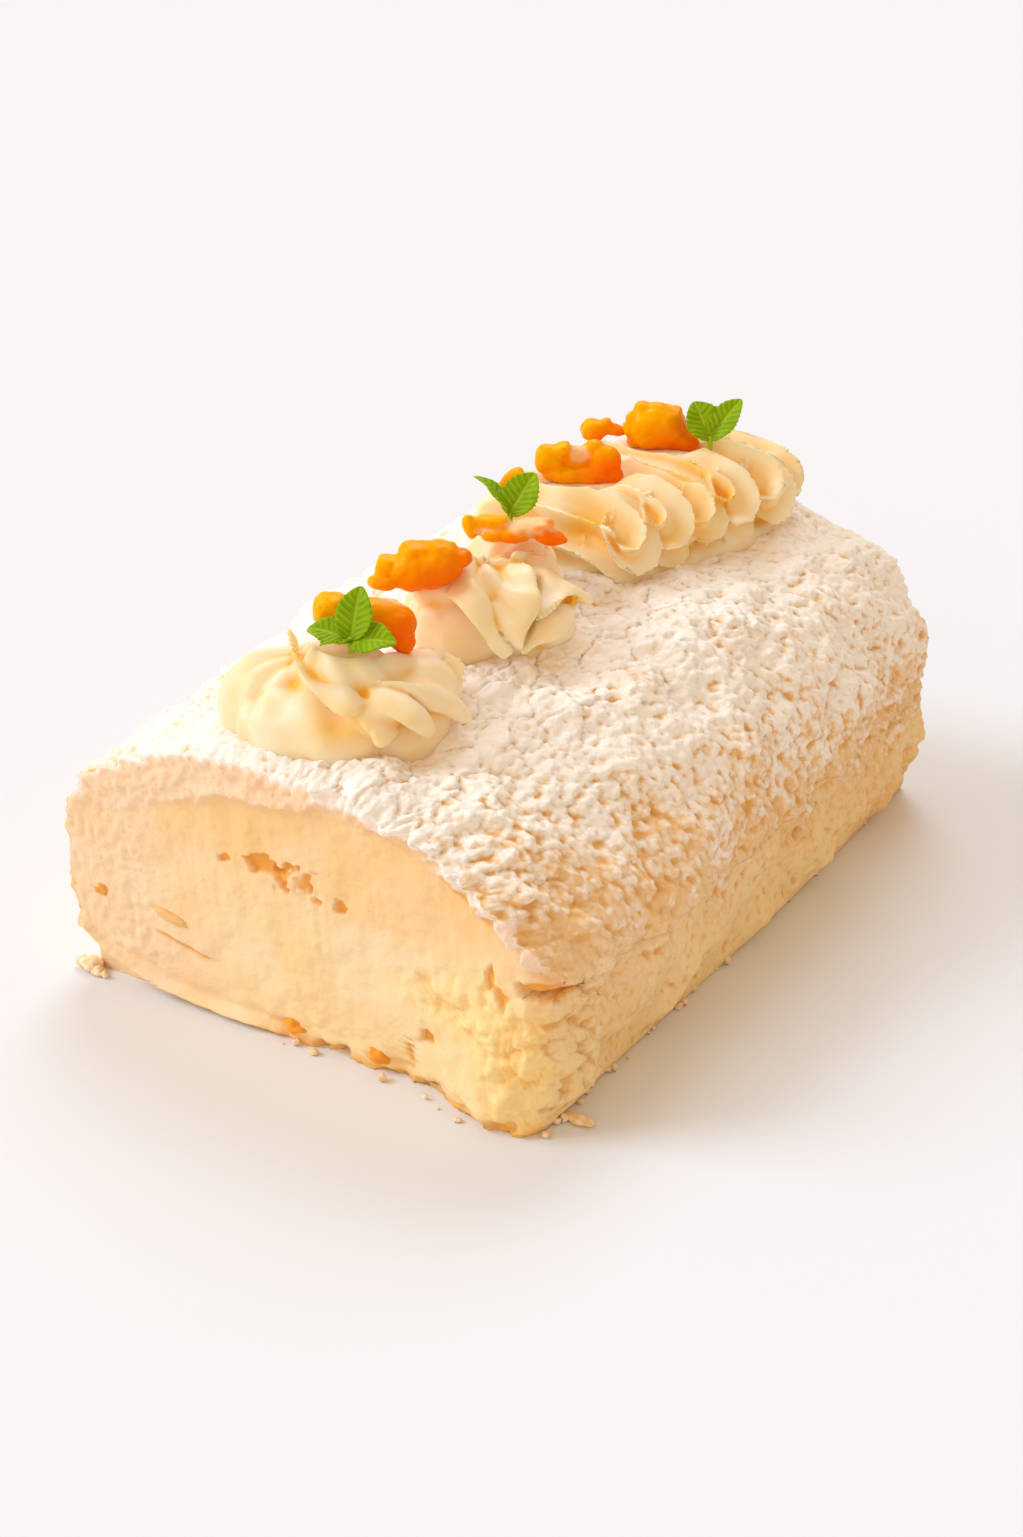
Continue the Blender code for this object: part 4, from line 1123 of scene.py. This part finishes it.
# %% Build the fruit
FRUIT = {
    "fruit_1": dict(at=(-3, -68, 99), lumps=[
        (-8.0, 0, 3.4, 4.4, 4.6, 4.0, 0), (-3.0, 0, 1.8, 5.6, 5.0, 4.4, 0), (3.6, 0, 0.8, 6.4, 5.4, 5.0, 0),
        (7.6, -0.6, -0.6, 4.6, 5.2, 4.8, -12), (9.4, -1.4, -4.2, 2.6, 3.6, 2.8, -30)],
        pale=[(8.0, 2.5, 5.6, 5.5, 3.0, 2.2)]),
    "fruit_2": dict(at=(-6, -40, 104), lumps=[
        (1.4, 0, -0.6, 9.4, 6.2, 5.2, 8), (-0.4, 0.5, 3.2, 4.4, 4.6, 2.8, 0),
        (5.4, 0.8, 3.4, 4.4, 4.6, 2.8, 0),
        (-7.8, -0.4, 0.2, 3.0, 3.6, 3.0, 0), (-8.8, -2.6, -3.4, 3.6, 3.0, 1.7, 0),
        (10.0, 0.8, 2.0, 3.4, 3.4, 2.4, 0)],
        pale=[]),
    "fruit_3": dict(at=(4, -11, 106.5), lumps=[
        (-11.0, -0.5, 1.0, 1.7, 3.0, 3.3, 20), (-6.0, 0, 2.2, 5.2, 2.8, 1.8, 6),
        (-2.0, -2.0, -0.6, 6.6, 3.0, 1.8, -4), (3.2, 0, 0.8, 7.2, 4.4, 1.9, 8),
        (9.4, -1.2, -1.4, 4.8, 3.2, 1.8, -8)],
        pale=[(3.6, 0, 1.6, 7.5, 4.6, 2.6), (-6.5, -2.2, 0.6, 4.0, 1.6, 0.9)]),
    "fruit_4": dict(at=(-17, 23, 106), lumps=[(0.6, 0, 1.0, 3.8, 3.2, 3.4, 30),
        (-1.4, 0, -1.2, 2.8, 3.0, 2.2, 0)],
                    pale=[]),
    "fruit_5": dict(at=(-4, 38, 110), lumps=[
        (-8.8, 0, 1.8, 3.9, 4.0, 4.0, 0), (-5.8, 0, 4.2, 3.2, 3.4, 1.7, 20),
        (-3.6, -0.6, -2.8, 6.6, 4.6, 2.6, -6),
        (3.4, -0.6, -2.6, 6.6, 4.6, 3.2, 6), (6.8, 0.4, 0.4, 4.4, 4.2, 4.6, -14),
        (3.4, 1.4, 3.6, 3.4, 2.6, 2.6, 20),
        (9.4, -1.0, -3.2, 2.4, 3.0, 2.6, 0), (-0.8, 1.6, 1.4, 4.6, 2.8, 3.2, 0)],
        pale=[(-0.6, 0.6, 3.2, 3.2, 3.2, 2.4)]),
    "fruit_6": dict(at=(-13, 64, 111), lumps=[
        (-0.8, 0, 1.0, 3.8, 3.4, 3.0, 0), (1.6, 0, 2.6, 2.4, 2.2, 1.6, 30), (5.0, 0, 0.8, 3.4, 2.2, 1.5, -8)],
        pale=[]),
    "fruit_7": dict(at=(3, 75, 112), lumps=[
        (-2.2, 0, 0.6, 8.2, 7.4, 6.6, 0), (-9.0, -1.0, 3.6, 2.2, 3.0, 2.1, 0),
        (-9.8, -0.6, 0.4, 2.3, 3.2, 2.2, 0),
        (-8.2, -1.0, -3.0, 2.6, 3.2, 2.3, 0), (-6.6, 0, 6.0, 2.2, 3.2, 1.8, 0),
        (-2.4, 0, 6.4, 2.4, 3.4, 1.5, 0),
        (2.4, 0, 4.8, 2.6, 3.6, 1.8, 0), (4.8, -1.4, -3.4, 5.0, 4.4, 3.6, -25),
        (7.4, -2.2, -5.2, 2.4, 3.0, 2.2, 0)],
        pale=[]),
}
SEEN_RIGHT = Vector((0.856, 0.517, 0.0))
FRUIT_VOXEL = 0.5 * MM


def squared_ball(around, down):
    """A unit ball that is a little boxy."""
    unit = ball(around, down)
    return np.sign(unit) * np.abs(unit) ** 0.8


def build_slice(name, fruit, seed):
    """A slice melted out of its lumps, with a torn skin and stored numbers for pale places and a deeper orange
    low down.
    """
    unit, lumps = squared_ball(28, 18), []
    for dx, dy, dz, rx, ry, rz, tilt in fruit["lumps"]:
        turn = np.array(Euler((0, -math.radians(tilt), 0)).to_matrix())
        lumps.append((unit * (rx, ry, rz)) @ turn.T + (dx, dy, dz))
    axes = np.array((SEEN_RIGHT, (-SEEN_RIGHT.y, SEEN_RIGHT.x, 0), (0, 0, 1)))
    middle = np.array(fruit["at"])
    points, faces = join_shells(lumps)
    piece = make_piece(name + "_slice", (points @ axes + middle) * MM, NO_QUADS, fruit_flesh, None, faces)
    melt(piece, FRUIT_VOXEL, 5)
    at, normal = places(piece.data), places(piece.data, "normal")
    torn = 0.5 * MM * blotches(at, 3.2 * MM, seed) + 0.22 * MM * blotches(at, 1.3 * MM, seed + 1)
    at = at + normal * torn[:, None]
    move_points(piece.data, at)
    local = (at / MM - middle) @ axes.T
    pale = np.zeros(len(at))
    uneven = 0.25 * blotches(at, 1.6 * MM, seed + 2)
    for dx, dy, dz, rx, ry, rz in fruit["pale"]:
        far = np.linalg.norm((local - (dx, dy, dz)) / (rx, ry, rz), axis=1) + uneven
        pale = np.maximum(pale, blur(1.0 - far, 0.25))
    # deeper orange towards the bottom and towards one end of the slice
    deeper_orange = blur(0.06 * local[:, 0] - 0.10 * local[:, 2] + 0.35 * blotches(at, 5 * MM, seed + 3), 0.9)
    store(piece.data, "pale", pale)
    store(piece.data, "deeper_orange", deeper_orange)
    return piece


for seed, (name, fruit) in enumerate(FRUIT.items()):
    slice_of_fruit = build_slice(name, fruit, 10 * seed + 400)
    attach(slice_of_fruit, "root")
    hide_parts(name)
    at = places(slice_of_fruit.data)

# %% [markdown]
# ### Fruit in the cut
# The knife has gone through small pieces of the same fruit that were folded into the cream. They are
# lumps that stand a little out of the cut.

# %% Build the cut fruit
CUT_FRUIT = {
    "cut_fruit_1": dict(at=(-63, 26), size=(5.6, 5, 4.4), tilt=20, pale=0.25),
    "cut_fruit_2": dict(at=(-41, 24), size=(14, 5, 3.8), tilt=6, pale=0.8),
    "cut_fruit_3": dict(at=(-4, 4.2), size=(6.4, 6, 5), tilt=-8, pale=0.15),
    "cut_fruit_4": dict(at=(21, 4.4), size=(5.6, 5, 4.8), tilt=12, pale=0.15),
}
for seed, (name, bit) in enumerate(CUT_FRUIT.items()):
    unit = squared_ball(32, 20)
    lump = 1 + 0.3 * blotches(unit + 5 * seed, 0.7, 200 + seed) + 0.15 * blotches(unit, 0.3, 210 + seed)
    x, z = (c * MM for c in bit["at"])
    points = unit * lump[..., None] * np.array(bit["size"]) * MM / 2
    turn = np.array(Euler((0, math.radians(bit["tilt"]), 0)).to_matrix())
    forward = float(face_push(np.array(x), np.array(z))) + bit["size"][1] * MM * 0.36
    points, faces = join_shells([points @ turn.T + np.array((x, FRONT_Y + forward, z))])
    numbers = {"pale": np.full(len(points), bit["pale"]), "deeper_orange": np.full(len(points), 0.45)}
    piece = make_piece(name + "_bit", points, NO_QUADS, fruit_flesh, numbers, faces)
    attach(piece, "root")
    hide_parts(name)
print("pieces in the cut:", len(CUT_FRUIT))

# %% [markdown]
# ### Mint leaf
# A mint leaf is a fresh mid green, lighter along its veins and where light comes through the blade. It has
# a waxy satin skin, quilted between the veins.

# %% Mint material
mint_leaf, tree, shader = new_material("fresh_mint_leaf")
where = add(tree, "TexCoord", out="Object")
blotch = add(tree, "TexNoise", {"Vector": where, "Scale": 1 / (3 * MM), "Detail": 3.0})
vein = add(tree, "Attribute", out="Fac", attribute_name="vein")
colour = add(tree, "Mix", {0: blotch, 6: linear("#648C00"), 7: linear("#9EBC04")}, out=2, data_type="RGBA")
colour = add(tree, "Mix", {0: vein, 6: colour, 7: linear("#B8D030")}, out=2, data_type="RGBA")
tree.links.new(colour, shader.inputs["Base Color"])
shader.inputs["Roughness"].default_value = 0.5
shader.inputs["Specular IOR Level"].default_value = 0.08
shader.inputs["Subsurface Weight"].default_value = 0.3
shader.inputs["Subsurface Scale"].default_value = 1.5 * MM
shader.inputs["Subsurface Radius"].default_value = (0.5, 1.0, 0.2)
print("made", mint_leaf.name)

# %% [markdown]
# ## Mint sprigs
# A leaf is given by its length and width in millimetres and four angles: its heading, its rise, its curl
# and its roll. It is a grid: along the midrib, and from edge to edge. Its half width follows a rounded
# curve with small saw teeth on it, the blade folds up from the midrib, and side veins press lines into
# it. Two such grids, half a millimetre apart, close into a blade with a real thickness.

# %% Build the sprigs
MINT = {
    "mint_front": dict(foot=(0.5, -78.5, 98.5), leaves=[
        (13, 8.6, 95, 70, 18, 12), (11, 8.8, 8, 14, 30, 30),
        (11, 8.4, 196, 20, 35, -20), (7.5, 5.0, 232, 10, 20, 0)]),
    "mint_middle": dict(foot=(-2, -3, 107), leaves=[(13, 9.6, 62, 56, 16, 35), (14, 7.0, 168, 50, 40, 20)]),
    "mint_back": dict(foot=(18, 74, 111), leaves=[(14.5, 8.0, 52, 52, 14, 35), (12, 10.8, 165, 60, 20, -25)]),
}
LEAF_ROWS, LEAF_COLUMNS = 56, 25
LEAF_TEETH, LEAF_VEINS, LEAF_THICK = 11, 8, 0.5 * MM


def leaf_blade(foot, shape):
    """Points, faces and vein numbers of one leaf."""
    length, width, heading, rise, curl, roll = shape
    share = np.linspace(0.0, 1.0, LEAF_ROWS)[:, None]
    across = np.linspace(-1, 1, LEAF_COLUMNS)[None, :]
    inside = np.clip(share, 0.004, 0.996)
    half = np.sin(math.pi * inside ** 0.86) ** 0.62
    teeth = 1 + 0.07 * np.abs(((share * LEAF_TEETH + 0.1) % 1) - 0.25) * 2 * smooth((0.97 - share) / 0.2)
    half = np.maximum(half * teeth, 0.05) * width * MM / 2
    bend = math.radians(curl) * (share - 0.3)
    vein_line = (share * LEAF_VEINS - np.abs(across) * 1.6) % 1
    side_vein = np.exp(-((vein_line - 0.5) / 0.1) ** 2) * smooth(np.abs(across) * 6)
    midrib = np.exp(-(across * half / (0.28 * MM)) ** 2)
    vein = np.clip(np.maximum(0.6 * side_vein, midrib) * smooth(share / 0.05), 0, 1)
    x = length * MM * share + 0 * across
    y = across * half
    fold = 0.30 * np.abs(across) * half + 0.35 * MM * np.sin(3.2 * math.pi * share) * np.abs(across)
    quilt = 0.22 * MM * np.sin(math.pi * vein_line) * smooth(np.abs(across) * 3)
    quilt = quilt * smooth((1 - np.abs(across)) * 5)
    z = -length * MM * bend * share * 0.5 + fold + quilt - 0.15 * MM * midrib
    turn = np.array(Euler((math.radians(roll), -math.radians(rise), math.radians(heading))).to_matrix())
    top = np.stack([x, y, z + LEAF_THICK / 2], axis=-1)
    bottom = np.stack([x, y, z - LEAF_THICK / 2], axis=-1)
    count = LEAF_ROWS * LEAF_COLUMNS
    points = np.concatenate([top.reshape(-1, 3), bottom.reshape(-1, 3)]) @ turn.T + np.array(foot) * MM
    upper = grid_faces(LEAF_ROWS, LEAF_COLUMNS)
    lower = upper[:, ::-1] + count
    rim = list(range(LEAF_COLUMNS))
    rim += [r * LEAF_COLUMNS + LEAF_COLUMNS - 1 for r in range(1, LEAF_ROWS)]
    rim += [(LEAF_ROWS - 1) * LEAF_COLUMNS + c for c in range(LEAF_COLUMNS - 2, -1, -1)]
    rim += [r * LEAF_COLUMNS for r in range(LEAF_ROWS - 2, 0, -1)]
    edge = [[a, b, b + count, a + count] for a, b in zip(rim, rim[1:] + rim[:1])]
    return points, upper.tolist() + lower.tolist() + edge, np.concatenate([vein.ravel(), vein.ravel() * 0.5])


def stem_tube(foot):
    """Points, faces and vein numbers of a short stalk from the cream up to the leaves."""
    rows, sides = 8, 14
    up = np.linspace(-2.7, 1.2, rows)[:, None] * MM
    turn = math.tau * np.arange(sides)[None, :] / sides
    radius = (0.85 - 0.05 * np.linspace(0, 1, rows)[:, None]) * MM
    points = np.stack([radius * np.cos(turn), radius * np.sin(turn), up + 0 * turn], axis=-1)
    points, faces = join_shells([points + np.array(foot) * MM])
    return points, faces, np.full(len(points), 0.7)


for name, sprig in MINT.items():
    grown = [leaf_blade(sprig["foot"], shape) for shape in sprig["leaves"]] + [stem_tube(sprig["foot"])]
    all_points, all_faces, veins, start = [], [], [], 0
    for points, faces, vein in grown:
        all_points.append(points)
        all_faces += [[start + i for i in face] for face in faces]
        veins.append(vein)
        start += len(points)
    numbers = {"vein": np.concatenate(veins)}
    piece = make_piece(name + "_sprig", np.concatenate(all_points), NO_QUADS, mint_leaf, numbers, all_faces)
    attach(piece, "root")
    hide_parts(name)
print("sprigs:", len(MINT))

# %% [markdown]
# ## Crumbs
# Bits of meringue break off along the foot of the roll and stay where they fall. They are one piece:
# a few dozen lumps of 1 to 4 mm that lie against the foot on the right side and in front.

# %% Build the crumbs
random = np.random.default_rng(7)
LOOSE_CRUMBS, FOOT_ANGLE = 44, -0.52
CRUMB_LOOK = {"sugar": 0.35, "deep": 0.1, "moist": 0.5}
BROKEN_BITS = [(72.5, -95.5, 4.5, 2.0, 0.7), (-70, -102, 3.6, 2.8, 1.5), (-66.5, -103.2, 2.2, 1.8, 1.0)]


def on_floor(shell):
    """Moves a shell up or down until it stands on the floor."""
    return shell - np.array((0, 0, shell[..., 2].min()))


def build_crumbs():
    shells = []
    for k in range(LOOSE_CRUMBS):
        size = random.uniform(0.4, 1.3) * MM
        along = random.uniform(-0.01, 0.75) ** 1.2 if k % 3 else random.uniform(0, 1)
        y = mix(FRONT_Y - 4 * MM, BACK_Y - 8 * MM, along)
        edge = float(section_radius(np.array(FOOT_ANGLE), max(0.0, along))) * math.cos(FOOT_ANGLE)
        x = edge + random.uniform(0.2, 2.6) * MM
        if k % 5 == 4:
            x = random.uniform(-66, 52) * MM
            y = FRONT_Y + float(face_push(np.array(x), np.array(0.0))) - random.uniform(0.5, 3.0) * MM
        unit = ball(12, 8)
        lump = 1 + 0.45 * blotches(unit + 3 * k, 0.7, 300 + k)
        points = unit * lump[..., None] * size * random.uniform(0.6, 1.1, 3)
        shells.append(on_floor(points + np.array((x, y, 0))))
    for x, y, wide, deep_in, high in BROKEN_BITS:
        unit = ball(20, 14)
        lump = 1 + 0.3 * blotches(unit + x, 0.6, 340)
        shells.append(on_floor((unit * lump[..., None] * (wide, deep_in, high) + (x, y, 0)) * MM))
    points, faces = join_shells(shells)
    numbers = {key: np.full(len(points), value) for key, value in CRUMB_LOOK.items()}
    return make_piece("meringue_crumbs", points, NO_QUADS, baked_meringue, numbers, faces)


crumbs = build_crumbs()
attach(crumbs, "root")
print("crumb faces:", len(crumbs.data.polygons))

# %% [markdown]
# ## Floor, light and camera
# The roll stands on a plain pale floor. One broad soft light comes from the upper left and behind, as
# from a large window, and the white surroundings fill the rest, so the shadows are soft and warm. The
# camera looks down at about 25 degrees from the front right.

# %% Floor
floor_points = np.array([[-6, -6, 0], [6, -6, 0], [6, 10, 0], [-6, 10, 0]], dtype=float)
floor_finish, tree, shader = new_material("matt_white_board")
shader.inputs["Base Color"].default_value = linear("#E8E9EC")
shader.inputs["Roughness"].default_value = 0.9
shader.inputs["Specular IOR Level"].default_value = 0.1
grain = add(tree, "TexNoise", {"Scale": 900.0, "Detail": 2.0})
bump = add(tree, "Bump", {"Height": grain, "Strength": 0.05, "Distance": 0.1 * MM})
tree.links.new(bump, shader.inputs["Normal"])
floor = make_piece("floor", floor_points, np.array([[0, 1, 2, 3]]), floor_finish)

# %% Lights
world = bpy.data.worlds.new("warm_room")
bpy.context.scene.world = world
world.use_nodes = True
background = world.node_tree.nodes["Background"]
background.inputs["Color"].default_value = linear("#FFE5C6")
background.inputs["Strength"].default_value = 0.7


def add_sun(name, strength, towards, colour, spread):
    """A far light with soft-edged shadows; towards points from the object to the light."""
    data = bpy.data.lights.new(name, "SUN")
    data.energy = strength
    data.color = linear(colour)[:3]
    data.angle = math.radians(spread)
    light = bpy.data.objects.new(name, data)
    light.location = Vector(towards)
    light.rotation_euler = Vector(towards).to_track_quat("Z", "Y").to_euler()
    bpy.context.scene.collection.objects.link(light)


add_sun("window_on_the_left", 1.8, (-0.75, -0.35, 0.62), "#D4E9FF", 26)
add_sun("window_behind", 1.26, (-0.3, 0.6, 0.8), "#D4E9FF", 30)
add_sun("white_wall_in_front", 0.48, (-0.1, -0.9, 0.3), "#FFF6E8", 60)

# %% Camera
camera_data = bpy.data.cameras.new("camera")
camera_data.sensor_fit = "AUTO"
camera_data.sensor_width = 36
camera_data.lens = FOCAL_PIXELS / FRAME_HIGH * camera_data.sensor_width
camera = bpy.data.objects.new("camera", camera_data)
camera.location = CAMERA_PLACE
camera.rotation_euler = Vector(LOOK).to_track_quat("-Z", "Y").to_euler()
bpy.context.scene.collection.objects.link(camera)
bpy.context.scene.camera = camera
bpy.context.scene.view_settings.view_transform = "Standard"
bpy.context.scene.view_settings.look = "None"
